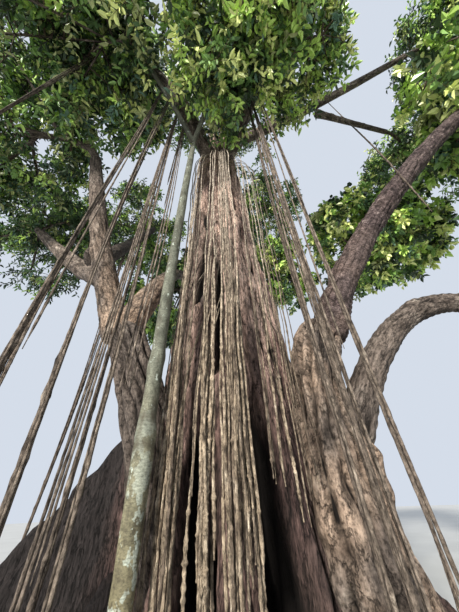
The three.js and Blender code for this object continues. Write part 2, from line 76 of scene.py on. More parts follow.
# Plank buttresses: angle from +X, reach, height at the trunk, thickness, and how far the tip has curled,
# in degrees
BUTTRESSES = [
    (194, 4.0, 3.3, 0.33, -12),
    (216, 3.1, 1.9, 0.30, 10),
    (247, 2.25, 1.15, 0.28, -12),
    (306, 2.45, 1.35, 0.30, 14),
    (334, 3.1, 1.95, 0.32, -10),
    (6, 3.5, 2.2, 0.32, 12),
    (47, 3.3, 2.3, 0.33, 15),
    (92, 3.6, 2.4, 0.34, -12),
    (129, 3.2, 2.0, 0.31, 12),
    (166, 3.7, 2.3, 0.32, 10),
]

# Limbs: the limb that carries one, its foot, elbow and tip, and its radii at the foot and the tip
STEMS = {
    "left_stem": (None, [(-0.45, -0.5, 0), (-0.75, -0.5, 2.1), (-1.72, -0.34, 3.8)], (0.30, 0.25)),
    "right_stem": (None, [(1.2, -0.38, 0), (0.74, -0.58, 1.9), (1.34, -0.46, 3.6)], (0.44, 0.26)),
}
PILLARS = {
    "front_pillar": (None, [(-0.64, -1.5, 0), (-0.74, -1.5, 2.6), (-0.64, -1.5, 8.05)], (0.086, 0.064)),
}
BOUGHS = {
    "left_outer_bough": (
        "left_stem",
        [(-1.74, -0.32, 3.6), (-2.45, -0.56, 5.3), (-3.05, -1.15, 8.1)],
        (0.225, 0.125),
    ),
    "left_inner_bough": (
        "left_stem",
        [(-1.7, -0.32, 3.6), (-1.25, 0.06, 5.9), (-1.85, 3.7, 8.9)],
        (0.22, 0.125),
    ),
    "grey_bough": (
        "left_outer_bough",
        [(-2.2, -0.48, 4.8), (-3.15, 0.15, 5.5), (-5.3, 0.6, 7.8)],
        (0.205, 0.13),
    ),
    "left_back_bough": (
        "left_outer_bough",
        [(-2.45, -0.56, 5.2), (-3.25, 0.95, 7.0), (-3.3, 3.0, 11.3)],
        (0.195, 0.13),
    ),
    "right_bough": (
        "right_stem",
        [(1.36, -0.45, 3.35), (2.32, -0.76, 5.6), (5.55, -1.65, 8.45)],
        (0.235, 0.15),
    ),
    "right_low_bough": (
        "right_stem",
        [(1.2, -0.55, 1.95), (2.23, -0.66, 3.87), (3.23, -0.78, 3.66)],
        (0.19, 0.125),
    ),
    "right_low_bough_end": (
        "right_low_bough",
        [(3.2, -0.776, 3.666), (4.5, -0.9, 3.5), (5.65, -1.05, 4.95)],
        (0.124, 0.09),
    ),
    "right_back_bough": (
        "right_stem",
        [(1.2, -0.47, 3.05), (2.3, 0.9, 4.6), (4.5, 3.2, 8.1)],
        (0.215, 0.135),
    ),
    "back_bough": (
        "trunk",
        [(0, 0.1, 7.3), (0.5, 2.1, 8.5), (1.4, 4.7, 10.1)],
        (0.25, 0.14),
    ),
    "high_left_bough": (
        "trunk",
        [(-0.3, -0.42, 9.15), (-1.1, -2.551, 10.3), (-4.0, -3.0, 12.7)],
        (0.21, 0.13),
    ),
    "high_front_bough": (
        "trunk",
        [(-0.02, -0.42, 9.15), (0.986, -1.854, 10.2), (1.9, -3.9, 12.6)],
        (0.2, 0.13),
    ),
    "high_right_bough": (
        "trunk",
        [(-0.15, -0.4, 10.5), (2.2, -0.95, 11.0), (6.2, -2.05, 13.1)],
        (0.16, 0.09),
    ),
    "high_right_fork": (
        "high_right_bough",
        [(3.05, -1.04, 11.38), (4.5, -0.6, 11.8), (6.1, -0.15, 12.25)],
        (0.1, 0.075),
    ),
    "high_back_bough": (
        "trunk",
        [(-0.18, -0.3, 10.5), (0.35, 1.5, 11.7), (0.8, 3.1, 13.3)],
        (0.23, 0.14),
    ),
    "leader": (
        "trunk",
        [(-0.2, -0.35, 10.6), (-0.35, -0.5, 12.8), (0.1, -0.15, 14.8)],
        (0.29, 0.17),
    ),
    "pillar_left_fork": (
        "front_pillar",
        [(-0.65, -1.5, 7.9), (-1.05, -2.05, 8.6), (-1.6, -2.8, 8.9)],
        (0.05, 0.044),
    ),
    "pillar_right_fork": (
        "front_pillar",
        [(-0.65, -1.5, 7.9), (-0.35, -1.9, 8.7), (0.1, -2.5, 9.1)],
        (0.05, 0.044),
    ),
}
LIMBS = {**STEMS, **PILLARS, **BOUGHS}

# Roots that hang straight down: the bough that carries one, how far along it, its lower end, its radius
HANGING_ROOTS = [
    ("high_left_bough", 0.465, 0, 0.040),
    ("high_left_bough", 0.413, 0, 0.042),
    ("high_left_bough", 0.345, 0.25, 0.024),
    ("high_left_bough", 0.29, 2.3, 0.020),
    ("high_left_bough", 0.78, 1.9, 0.034),
    ("high_front_bough", 0.385, 0, 0.036),
    ("high_front_bough", 0.425, 0, 0.038),
    ("high_front_bough", 0.485, 0.9, 0.022),
    ("high_right_bough", 0.62, 5.2, 0.028),
    ("back_bough", 0.55, 0, 0.060),
    ("back_bough", 0.75, 0, 0.044),
    ("right_back_bough", 0.6, 0, 0.055),
    ("left_back_bough", 0.55, 0, 0.050),
    ("grey_bough", 0.6, 0, 0.052),
]

# Curtains of thin roots before the trunk's face: middle angle, distance from their middle line, number of
# strands, the step from one to the next, the lowest end, and the radius
CURTAINS = [
    (248, 1.08, 4, 2.6, 0.35, 0.022),
    (263.8, 1.13, 3, 2.6, 0.45, 0.027),
    (275.8, 1.13, 4, 2.9, 0.40, 0.027),
    (303, 1.05, 4, 8.5, 1.40, 0.020),
]

# Masses of leaves: the bough that carries one, the middle and the radii of its space
MASSES = {
    "leaves_front_left": ("pillar_left_fork", (-3.0, -2.9, 9.5), (2.6, 2.3, 1.8)),
    "leaves_front": ("pillar_right_fork", (0.5, -2.8, 9.5), (2.7, 2.2, 1.7)),
    "leaves_left": ("left_outer_bough", (-6.1, -1.5, 9.6), (2.9, 2.7, 2.3)),
    "leaves_far_left": ("grey_bough", (-7.0, 2.0, 9.8), (2.9, 2.9, 2.3)),
    "leaves_left_back": ("left_back_bough", (-5.0, 4.4, 13.0), (3.1, 3.0, 2.5)),
    "leaves_back_left": ("left_inner_bough", (-2.3, 6.0, 9.6), (3.0, 2.8, 2.3)),
    "leaves_right_low": ("right_low_bough_end", (7.0, -1.4, 5.9), (2.1, 2.3, 1.7)),
    "leaves_right": ("right_bough", (7.0, -1.9, 9.7), (2.5, 2.5, 2.0)),
    "leaves_right_back": ("right_back_bough", (6.0, 3.0, 9.9), (2.8, 2.7, 2.3)),
    "leaves_back": ("back_bough", (1.9, 6.3, 11.0), (3.0, 2.8, 2.4)),
    "leaves_high_right": ("high_right_bough", (8.3, -2.5, 13.7), (2.5, 2.5, 2.1)),
    "leaves_high_right_back": ("high_right_fork", (8.5, 1.5, 12.8), (2.5, 2.7, 2.1)),
    "leaves_high_front": ("high_front_bough", (1.8, -4.8, 14.0), (3.0, 2.8, 2.3)),
    "leaves_high_left": ("high_left_bough", (-4.9, -3.2, 13.7), (3.2, 3.0, 2.5)),
    "leaves_high_back": ("high_back_bough", (1.4, 4.2, 14.8), (3.2, 3.1, 2.5)),
    "leaves_top": ("leader", (-0.2, -0.5, 17.0), (3.5, 3.4, 2.4)),
}

# Looks of the trunk
TRUNK_SEGMENTS = 520
TRUNK_RINGS = 176
TOP_ROUNDING = 0.45
SEEN_SIDE = 272
# Ridges of fused roots round the trunk, and the depth of the valleys between them
BROAD_RIDGES = 24
NARROW_RIDGES = 58
BROAD_VALLEY = 0.095
NARROW_VALLEY = 0.042
# The length over which a buttress melts into the column, and the half width of its tip in radians
PLANK_BLEND = 0.055
PLANK_TIP_WIDTH = 0.3
# Deep hollows, with painted shade in them: heights and angles of one's line, its half width in degrees, its
# depth
DEEP_GROOVES = [
    ((0, 0.97, 1.22, 1.57, 2.02, 2.6), (288.5, 288, 286.6, 284.6, 284.4, 285), 7.4, 0.55),
    ((0, 1.0, 1.24, 1.59, 1.88, 2.5), (252, 251, 250, 248, 246, 242), 4.0, 0.30),
    ((0.4, 0.99, 1.34, 1.75), (259.4, 259.4, 258.8, 258.5), 1.7, 0.25),
    ((3.8, 4.3, 4.9, 5.6, 6.7), (232, 231.5, 232.5, 234, 237), 9.0, 0.30),
    ((2.7, 2.94, 3.32, 4.26, 5.1), (260.3, 260.3, 261.2, 261.7, 259), 4.3, 0.36),
    ((0.2, 1.2, 3.6), (228, 231, 233), 1.8, 0.22),
    ((0.5, 2.0, 4.0), (303, 302, 298), 1.6, 0.18),
    ((1.0, 3.0, 7.0), (321, 318, 314), 1.2, 0.10),
    ((0.6, 3.0, 6.0), (28, 25, 30), 2.2, 0.18),
    ((0.8, 3.5, 7.5), (72, 68, 75), 2.0, 0.16),
    ((0.4, 2.5, 5.0), (112, 110, 106), 2.4, 0.22),
    ((0.6, 3.0, 6.5), (148, 146, 152), 2.0, 0.16),
]
# Angle and half width, in degrees, of the bark behind each thick curtain, which takes painted shade
COVERED_BARK = ((247, 6), (263.8, 4.5), (275.8, 7))
# Angles of the buttresses that lie in shade, and of the dim bark beside the large hollow
SHADED_SIDE = 205
DIM_SIDE = 308

# Looks of the limbs: sides, rings, and relief as shares of the radius (lumps, ring marks, furrows, fused
# strands), with the number of knots
LIMB_FINISH = {
    "left_stem": (130, 220, (0.22, 0.0, 0.10, 0.26, 5)),
    "right_stem": (160, 240, (0.29, 0.0, 0.12, 0.40, 11)),
    "front_pillar": (60, 300, (0.07, 0.0, 0.03, 0.0, 5)),
    "left_outer_bough": (72, 190, (0.11, 0.02, 0.06, 0.05, 5)),
    "left_inner_bough": (72, 190, (0.11, 0.02, 0.06, 0.05, 4)),
    "grey_bough": (64, 150, (0.09, 0.025, 0.04, 0.02, 4)),
    "left_back_bough": (56, 170, (0.10, 0.02, 0.05, 0.02, 4)),
    "right_bough": (90, 260, (0.15, 0.06, 0.09, 0.06, 9)),
    "right_low_bough": (90, 180, (0.13, 0.05, 0.08, 0.05, 5)),
    "right_low_bough_end": (72, 110, (0.08, 0.045, 0.05, 0.0, 2)),
}
USUAL_FINISH = (44, 120, (0.09, 0.025, 0.05, 0.02, 4))
MASS_STEM_FINISH = (14, 16, (0.08, 0.02, 0.03, 0.0, 1))
MASS_TWIG_FINISH = (7, 8, (0.05, 0.0, 0.0, 0.0, 0))
STRANDS_ROUND_A_STEM = 13
# The shares of a limb over which its ends round off
STEM_ROUNDING = 0.11
BOUGH_ROUNDING = 0.05
# How far along the pillar its joint lies
PILLAR_JOINT = 0.325
# The grain of a limb starts this far along for each place in the list of limbs
GRAIN_STEP = 7.3
PILLAR_GRAIN_START = GRAIN_STEP * list(LIMBS).index("front_pillar")
# How dark the bark of a limb in shade is
SHADED_BARK = {
    "left_stem": 0.6,
    "left_back_bough": 0.7,
    "left_outer_bough": 0.25,
    "left_inner_bough": 0.25,
    "right_stem": 0.2,
    "right_low_bough": 0.3,
    "right_low_bough_end": 0.45,
}
# How much of the bark is worn pale and painted pale as sunlit, and the share of the limb over which that
# fades
PALE_BARK = {
    "left_stem": (0.12, 2.0),
    "right_stem": (0.8, 3.0),
    "left_outer_bough": (1.4, 0.30),
    "left_inner_bough": (1.5, 0.35),
    "right_bough": (0.4, 0.3),
}
USUAL_PALE_BARK = (0.1, 1.0)
RINGED_LIMBS = ("right_bough", "right_back_bough")
SMOOTH_LIMBS = ("front_pillar", "pillar_left_fork", "pillar_right_fork")

# Looks of the roots in the air: points along a hanging root, and, by its place in the list, the number of
# loose thin strands beside it and the knots of its own (height, size and half length)
ROOT_POINTS = 170
LOOSE_STRANDS = {0: 2, 1: 2, 2: 7, 3: 4, 5: 2, 6: 3, 7: 3}
OWN_KNOTS = {
    0: [(3.1, 0.8, 0.05)],
    1: [(2.2, 0.9, 0.04)],
    6: [(5.66, 1.3, 0.05), (3.3, 0.8, 0.04)],
}
# Where the random draws of the roots start, for the first of each kind
HANGING_ROOT_SEED = 500
CURTAIN_SEED = 900
# Points and knots along a strand of a curtain
STRAND_POINTS = 200
STRAND_KNOTS = 44
# For each curtain: the thickness of its strands as a share of the source's, how many grow together in one,
# how many thin ones hang among them, how far they spread at the foot, how dark they are, and the share of
# its strands that leave the trunk below the crown
CURTAIN_FINISH = [
    (0.50, 2, 12, 0.9, 0.60, 0.35),
    (0.40, 3, 6, 1.5, 0.40, 0.95),
    (0.40, 3, 12, 0.9, 0.60, 0.45),
    (0.40, 1, 12, 0.3, 0.60, 0.30),
]
# The strands' lowest ends by their angle: they stop above the large hollow and at the right
STRAND_END_ANGLES = (234, 251, 258, 272, 279, 283, 288, 306, 322)
STRAND_END_HEIGHTS = (0.15, 0.1, 0.3, 0.4, 0.5, 1.7, 1.7, 1.3, 1.8)

# Looks of the foliage
TARGETS_PER_MASS = 165
DENSE_MASSES = {"leaves_front": 215, "leaves_front_left": 215}
# Foliage stands where soft noise lies above this, so that sky shows between clumps
GAP_LEVEL = 0.0
SHOOTS_PER_TARGET = 7
LEAVES_PER_SHOOT = 11
# Thickness of the side twigs at the foot, the elbow and the tip, and of the shoots at the foot and the tip
SIDE_TWIG_RADII = (0.017, 0.011, 0.006)
SHOOT_RADII = (0.006, 0.003)
# A leaf's length, and its width as a share of that
USUAL_LEAF = (0.18, 0.42)
BROAD_LEAF = (0.25, 0.62)
BROAD_LEAVED = ("leaves_right", "leaves_right_back", "leaves_right_low", "leaves_back", "leaves_back_left")
# Points round a leaf: shares of its length along it, of its width across it, and of its length for the lift
LEAF_OUTLINE = [
    (0, 0, 0),
    (0.28, 0.45, 0.12),
    (0.66, 0.38, 0.10),
    (1, 0, -0.16),
    (0.66, -0.38, 0.10),
    (0.28, -0.45, 0.12),
]
# The sunlit tints are painted sunlight that shines through the leaves
LEAF_TINTS = {
    "dark": (0.030, 0.060, 0.024),
    "deep": (0.088, 0.172, 0.058),
    "mid": (0.220, 0.380, 0.105),
    "olive": (0.370, 0.420, 0.180),
    "sunlit_bright": (0.510, 0.740, 0.170),
    "sunlit_yellow": (0.800, 0.880, 0.330),
    "blue": (0.140, 0.250, 0.180),
}
# Share of each tint, in the order above, and the share of leaves with a tint unlike their shoot's
USUAL_TINTS = (0.22, 0.21, 0.22, 0.09, 0.15, 0.06, 0.05)
SUNNY_TINTS = (0.19, 0.12, 0.14, 0.09, 0.24, 0.20, 0.02)
SHADY_TINTS = (0.32, 0.30, 0.18, 0.05, 0.05, 0.02, 0.08)
# Sunny masses take more of the sunlit tints as painted sunlight, and shady ones more of the dark tints as
# painted shade
MASS_TINTS = {
    "leaves_front": SUNNY_TINTS,
    "leaves_right": SUNNY_TINTS,
    "leaves_right_back": SUNNY_TINTS,
    "leaves_right_low": SUNNY_TINTS,
    "leaves_back": SUNNY_TINTS,
    "leaves_far_left": SHADY_TINTS,
    "leaves_high_left": SHADY_TINTS,
}
ODD_TINTS = 0.16

# Colours that several finishes share
SHADE_AND_SPECK_TONE = (0.006, 0.004, 0.003)
LICHEN_TONE = (0.40, 0.45, 0.39)

# The photograph's frame in pixels, the point where plumb lines meet in it, and the camera's place
PHOTO_HEIGHT = 612
PHOTO_MIDDLE = (229.5, 306.0)
PLUMB_POINT = (216.0, -10.0)
FOCAL_LENGTH = 250.0
SENSOR_WIDTH_MM = 36.0
CAMERA_PLACE = (0, -3.6, 1.55)

SKY_COLOUR = (0.78, 0.85, 0.96)
SKY_STRENGTH = 0.85
SUN_COLOUR = (1.0, 0.95, 0.87)
SUN_STRENGTH = 6.2
SUN_WIDTH = 0.12
SUN_DIRECTION = (0.36, 0.88, -0.29)
FLOOR_RADIUS = 70


# Numbers

def seeded_random(seed):
    """Numbers from 0 to 1, the same as the source draws."""
    state = seed
    while True:
        state = (state * 1664525 + 1013904223) % 4294967296
        yield state / 4294967296


def unit(vectors):
    return vectors / np.maximum(np.linalg.norm(vectors, axis=-1, keepdims=True), 1e-9)


def smooth_noise(points, scale):
    """Soft noise between about -1 and 1 at each point, stretched by the scale of each axis."""
    return np.array([noise.noise(p) for p in points * np.array(scale)])


def turned_from(angle, bearing):
    """The signed angle from a bearing, between minus and plus half a turn."""
    return (angle - bearing + math.pi) % (2 * math.pi) - math.pi


def soft_band(angle, middle, half_width):
    """1 for angles inside a band, and 0 outside it, with soft edges. All in radians."""
    return np.exp(-((turned_from(angle, middle) / half_width) ** 4))


def curve_point(path, t):
    """A point of the bent line that a limb follows from its foot past its elbow to its tip."""
    a, b, c = (np.array(p, float) for p in path)
    t = np.asarray(t, float)[..., None]
    return (1 - t) ** 2 * a + 2 * t * (1 - t) * b + t * t * c


def curve_heading(path, t):
    a, b, c = (np.array(p, float) for p in path)
    t = np.asarray(t, float)[..., None]
    return unit((1 - t) * (b - a) + t * (c - b))


def curve_length(path):
    steps = np.diff(curve_point(path, np.linspace(0, 1, 60)), axis=0)
    return np.linalg.norm(steps, axis=1).sum()


def curve_side(path):
    """The direction square to the plane that a limb bends in."""
    a, b, c = (np.array(p, float) for p in path)
    side = np.cross(b - a, c - b)
    if np.linalg.norm(side) < 1e-6:
        side = np.cross(c - a, (1.0, 0.0, 0.0))
    return unit(side)


def limb_radius(limb, t):
    carried, _, (thick, thin) = limb
    collar = 0.3 * np.exp(-14 * t) if carried else 0
    return (thick + (thin - thick) * t) * (1 + collar)


# Meshes

# Tubes made so far, by their numbers of sides and rings
made_tubes = {}


def unit_tube(sides, rings):
    """A closed tube round Z from 0 to 1: each vertex's angle, share of the height and share of the radius,
    with the corners of its faces."""
    if (sides, rings) in made_tubes:
        return made_tubes[sides, rings]
    bm = bmesh.new()
    bmesh.ops.create_cone(bm, cap_ends=True, cap_tris=True, segments=sides, radius1=1, radius2=1, depth=1)
    bmesh.ops.translate(bm, verts=bm.verts, vec=(0, 0, 0.5))
    uprights = [e for e in bm.edges if abs(e.verts[0].co.z - e.verts[1].co.z) > 0.5]
    bmesh.ops.subdivide_edges(bm, edges=uprights, cuts=rings - 1, use_grid_fill=True)
    bm.verts.index_update()
    places = np.array([v.co for v in bm.verts])
    corners = [[v.index for v in f.verts] for f in bm.faces]
    bm.free()
    angle = np.arctan2(places[:, 1], places[:, 0])
    rim = np.hypot(places[:, 0], places[:, 1])
    tube = (angle, places[:, 2], np.round(rim, 4), corners)
    made_tubes[sides, rings] = tube
    return tube


def new_mesh(name, points, corners, sizes):
    """A mesh from its points, the corners of all its faces in a row, and each face's number of corners."""
    mesh = bpy.data.meshes.new(name)
    mesh.vertices.add(len(points))
    mesh.vertices.foreach_set("co", points.astype(np.float32).ravel())
    mesh.loops.add(len(corners))
    mesh.loops.foreach_set("vertex_index", corners.astype(np.int32))
    mesh.polygons.add(len(sizes))
    mesh.polygons.foreach_set("loop_start", (np.cumsum(sizes) - sizes).astype(np.int32))
    mesh.update(calc_edges=True)
    return mesh


def joined_mesh(name, parts):
    """One mesh from parts, each its points, the corners of its faces and its attributes by name."""
    points = np.concatenate([part[0] for part in parts])
    starts = np.cumsum([0] + [len(part[0]) for part in parts[:-1]])
    sizes = np.concatenate([[len(face) for face in part[1]] for part in parts])
    own_corners = [np.concatenate([np.asarray(face) for face in part[1]]) for part in parts]
    corners = np.concatenate([own + start for own, start in zip(own_corners, starts)])
    mesh = new_mesh(name, points, corners, sizes)
    for key, sample in parts[0][2].items():
        values = np.concatenate([part[2][key] for part in parts]).astype(np.float32)
        if sample.ndim == 2:
            mesh.attributes.new(key, "FLOAT_VECTOR", "POINT").data.foreach_set("vector", values.ravel())
        else:
            mesh.attributes.new(key, "FLOAT", "POINT").data.foreach_set("value", values)
    return mesh


def add_piece(name, mesh, material, nodes, smooth=True):
    """Puts a mesh in the scene as a piece that rides on the tree and stands for the named nodes."""
    piece = bpy.data.objects.new(name, mesh)
    bpy.context.collection.objects.link(piece)
    mesh.materials.append(material)
    mesh.polygons.foreach_set("use_smooth", np.full(len(mesh.polygons), smooth))
    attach(piece, "root")
    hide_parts(*nodes)


# Trunk

def trunk_middle(z):
    rise = np.clip(np.asarray(z, float) / TRUNK_TOP, 0, 1) ** 1.5
    return rise[..., None] * TRUNK_LEAN


def trunk_radius(angle, z):
    """The column's radius in the source: swollen toward the foot, and fluted."""
    swell = TRUNK_FOOT_SWELL * np.exp(-z / TRUNK_SWELL_HEIGHT)
    flutes = 0.6 * np.cos(7 * angle + 1.1 + z / 5.2) + 0.4 * np.cos(12 * angle + z / 3.6)
    return (TRUNK_SLIM_RADIUS + swell) * (1 + FLUTE_DEPTH * flutes)


def plank_reach(plank, angle, z):
    """How far from the axis a buttress's flank lies at an angle and a height, found by halving."""
    bearing, reach, height, thickness, _ = plank
    away = np.abs(np.sin(turned_from(angle, math.radians(bearing)))) + 1e-4
    facing = np.abs(turned_from(angle, math.radians(bearing))) < 1.3
    near = np.full(angle.shape, 0.02)
    far = np.full(angle.shape, reach)
    for _ in range(14):
        s = (near + far) / 2
        share = np.clip((s - PLANK_START) / (reach - PLANK_START), 0, 1)
        top = np.maximum(height * (1 - share) ** 1.55, 0.07)
        across = np.interp(z / top, (0, 0.3, 0.8, 1, 1.04), (1.35, 0.8, 0.5, 0.22, 0))
        half = thickness * (0.62 - 0.32 * share) * across
        beyond = s * away > half
        far = np.where(beyond, s, far)
        near = np.where(beyond, near, s)
    return np.where(facing, near, 0.02)


def trunk_angles():
    """Angles of the trunk's upright lines, closest together on the planks and on the side seen first."""
    fine = np.linspace(0, 2 * math.pi, 7200, endpoint=False)
    weight = 1 + 1.3 * soft_band(fine, math.radians(SEEN_SIDE), 1.15)
    for bearing, reach, *_ in BUTTRESSES:
        away = turned_from(fine, math.radians(bearing))
        weight += reach * 1.1 * np.exp(-np.abs(away) / 0.045)
    total = np.concatenate([[0], np.cumsum(weight)])
    shares = np.arange(TRUNK_SEGMENTS + 1) / TRUNK_SEGMENTS * total[-1]
    return np.interp(shares, total, np.append(fine, 2 * math.pi))


def strand_ridges(angle, z, count, seed):
    """Round ridges of roots that have fused with the trunk, with sharp valleys between them, 0 to 1."""
    points = np.stack([np.cos(angle) * 1.2, np.sin(angle) * 1.2, z * 0.33 + seed], axis=-1)
    wander = 0.16 * smooth_noise(points, (1, 1, 1)) + 0.035 * smooth_noise(points, (5, 5, 3))
    return np.abs(np.sin(count / 2 * (angle + wander))) ** 0.62


def groove_depth(angle, z):
    """How deep the hollows go, and how much of a hollow each point is, from 0 to 1: that share takes
    painted shade.
    """
    depth = np.zeros(angle.shape)
    share = np.zeros(angle.shape)
    for heights, bearings, half_width, deep in DEEP_GROOVES:
        line = np.radians(np.interp(z, heights, bearings)) + 0.012 * np.sin(5 * z)
        low, high = heights[0], heights[-1]
        fade_in = np.clip((z - low) / 0.3 + (low <= 0), 0, 1)
        fade_out = np.clip((high - z) / (0.25 * (high - low) + 0.2), 0, 1)
        inside = soft_band(angle, line, np.radians(half_width)) * (fade_in * fade_out)
        depth = np.maximum(depth, deep * inside)
        share = np.maximum(share, np.clip(1.8 * inside, 0, 1))
    return depth, share


def with_buttresses(column, angle, z):
    """How far the bark reaches once the buttresses have melted into the column, how much of a buttress each
    point is, and the angle that a buttress's curl moves it by."""
    flanks = [plank_reach(plank, angle, z) for plank in BUTTRESSES]
    mixed = sum(np.exp(np.clip((flank - column) / PLANK_BLEND, -30, 60)) for flank in flanks)
    reach = column + PLANK_BLEND * np.log1p(mixed)
    reach = np.minimum(reach, np.maximum(column + 0.1, np.max(flanks, axis=0) + 0.05))
    plankness = np.clip((reach - column - 0.05) / 0.25, 0, 1)
    curl = np.zeros(angle.shape)
    for bearing, plank_length, _, _, turned in BUTTRESSES:
        near = soft_band(angle, math.radians(bearing), PLANK_TIP_WIDTH)
        out = np.clip((reach - PLANK_START) / (plank_length - PLANK_START), 0, 1)
        curl += math.radians(turned) * out**2 * near
        # the edge wanders a little, as a root does
        curl += 0.02 * near * out * np.sin(3.1 * reach + bearing)
    return reach, plankness, curl


def trunk_marks(points, angle, z, broad, narrow, shade_and_specks, plankness):
    """How much painted shade, how shaded, and how pale from wear and from painted sunlight the trunk's bark
    is at each point, from 0 to 1.
    """
    around = np.stack([np.cos(angle), np.sin(angle), z * 0.45], axis=-1)
    # painted shade in the valleys between the ridges of fused roots
    crevice_shade = np.clip(1.6 * (0.55 - broad), 0, 1) * 0.8 + np.clip(1.4 * (0.45 - narrow), 0, 1) * 0.5
    # little light reaches the bark behind the thick curtains
    covered = sum(soft_band(angle, *np.radians(band)) for band in COVERED_BARK)
    covered = 0.6 * covered * np.clip((4.2 - z) / 1.5, 0, 1)
    covered = covered * (0.5 + 0.5 * np.clip(2 * (0.7 - broad), 0, 1))
    # painted shade in the hollows, behind the thick curtains, and in the valleys off the buttresses
    dark = np.clip(np.maximum(np.maximum(shade_and_specks, covered), crevice_shade * (1 - plankness)), 0, 1)

    # pale patches of wear, and painted sunlight that makes the bark paler higher up
    worn_and_lit = 0.5 + 1.3 * smooth_noise(around, (2.1, 2.1, 2.2)) + 0.5 * smooth_noise(points, (6, 6, 3))
    worn_and_lit += 0.35 * np.clip((z - 2.8) / 1.5, 0, 1)
    pale = np.clip((z - 2.0) / 2.4, 0.12, 1) * np.clip(worn_and_lit, 0, 1) * (1 - plankness)

    # the buttresses on the left are the darkest, and the bark low down beside the large hollow is dim too
    shaded = 0.4 + 0.6 * soft_band(angle, math.radians(SHADED_SIDE), 0.75)
    beside = soft_band(angle, math.radians(DIM_SIDE), 0.36) * np.clip((3.0 - z) / 1.5, 0, 1)
    shade = np.maximum(plankness * shaded, 0.7 * beside)
    return {"shade_and_specks": dark, "shade": shade, "pale": pale, "grain": points.copy()}


def push_out(mesh, amounts):
    """Moves each vertex along its own normal, and leaves the flat cut at the ground as it is."""
    count = len(mesh.vertices)
    places = np.empty(count * 3, np.float32)
    normals = np.empty(count * 3, np.float32)
    mesh.vertices.foreach_get("co", places)
    mesh.vertex_normals.foreach_get("vector", normals)
    places = places.reshape(-1, 3)
    moved = places + normals.reshape(-1, 3) * amounts[:, None]
    flat = places[:, 2] < 0.02
    moved[flat, 2] = places[flat, 2]
    moved[:, 2] = np.maximum(moved[:, 2], 0)
    mesh.vertices.foreach_set("co", moved.astype(np.float32).ravel())
    mesh.update()


def make_trunk(material):
    turn, share, rim, corners = unit_tube(TRUNK_SEGMENTS, TRUNK_RINGS)
    line = turn % (2 * math.pi) / (2 * math.pi) * TRUNK_SEGMENTS
    angle = np.interp(line, np.arange(TRUNK_SEGMENTS + 1), trunk_angles())
    z = TRUNK_TOP * share**1.45
    drawn_in = 1 - 0.4 * np.clip((z - (TRUNK_TOP - TOP_ROUNDING)) / TOP_ROUNDING, 0, 1) ** 2

    broad = strand_ridges(angle, z, BROAD_RIDGES, 0)
    narrow = strand_ridges(angle, z, NARROW_RIDGES, 9)
    around = np.stack([np.cos(angle), np.sin(angle), z * 0.45], axis=-1)
    uneven = 0.6 + 0.8 * np.clip(0.5 + smooth_noise(around, (2.4, 2.4, 1.6)), 0, 1)
    valleys = BROAD_VALLEY * uneven * (broad - 0.85) + NARROW_VALLEY * (narrow - 0.8)
    valleys = valleys + 0.05 * smooth_noise(around, (3, 3, 1.4))
    grooves, shade_and_specks = groove_depth(angle, z)
    column = (trunk_radius(angle, z) + valleys - grooves) * drawn_in

    reach, plankness, curl = with_buttresses(column, angle, z)
    bent = angle + curl
    middle = trunk_middle(z) * (1 - plankness)[:, None]
    reach = reach * rim
    x = middle[:, 0] + reach * np.cos(bent)
    y = middle[:, 1] + reach * np.sin(bent)
    points = np.stack([x, y, z], axis=-1)
    marks = trunk_marks(points, angle, z, broad, narrow, shade_and_specks, plankness)
    mesh = joined_mesh("trunk_bark_relief", [(points, corners, marks)])

    # folds run up the buttresses, and knobs stand all over, each in a coarse and a fine size
    along = np.stack([angle * 6, np.hypot(points[:, 0], points[:, 1]), points[:, 2] * 4.5], axis=-1)
    folds = 0.034 * smooth_noise(along, (1, 1.1, 1)) + 0.022 * smooth_noise(along, (3, 3.2, 3))
    knobs = 0.034 * smooth_noise(points, (8, 8, 2.4)) + 0.024 * smooth_noise(points, (22, 22, 7))
    push_out(mesh, folds * plankness + knobs * (1 - 0.15 * plankness))
    add_piece("trunk_with_bark", mesh, material, ["trunk"])


# Limbs

def joint_swelling(share):
    """The pillar thickens up to an old joint and goes on thinner above it. Gives its radius as a share, and
    how much painted shade its creases take."""
    below = np.exp(-(((share - PILLAR_JOINT) / 0.085) ** 2))
    cut_off = 1 - np.clip((share - PILLAR_JOINT) / 0.022, 0, 1)
    crease = sum(np.exp(-(((share - PILLAR_JOINT - place) / 0.005) ** 2)) for place in (0.016, -0.012))
    return 0.84 + 0.24 * below * cut_off - 0.05 * crease, 0.6 * crease


def knot_relief(turn, along, path, base, seed, count):
    """Rounded knots with a dimple, where branches once were."""
    draw = seeded_random(seed + 11)
    bumps = np.zeros(turn.shape)
    length = curve_length(path)
    for _ in range(count):
        place = length * (0.15 + 0.8 * next(draw))
        bearing = 2 * math.pi * next(draw)
        size = 0.55 + 0.5 * next(draw)
        apart = np.hypot(turned_from(turn, bearing), (along - place) / np.maximum(base, 0.05)) / size
        bumps += 0.3 * size * (np.exp(-(apart**2)) - 0.75 * np.exp(-((apart / 0.42) ** 2)))
    return bumps


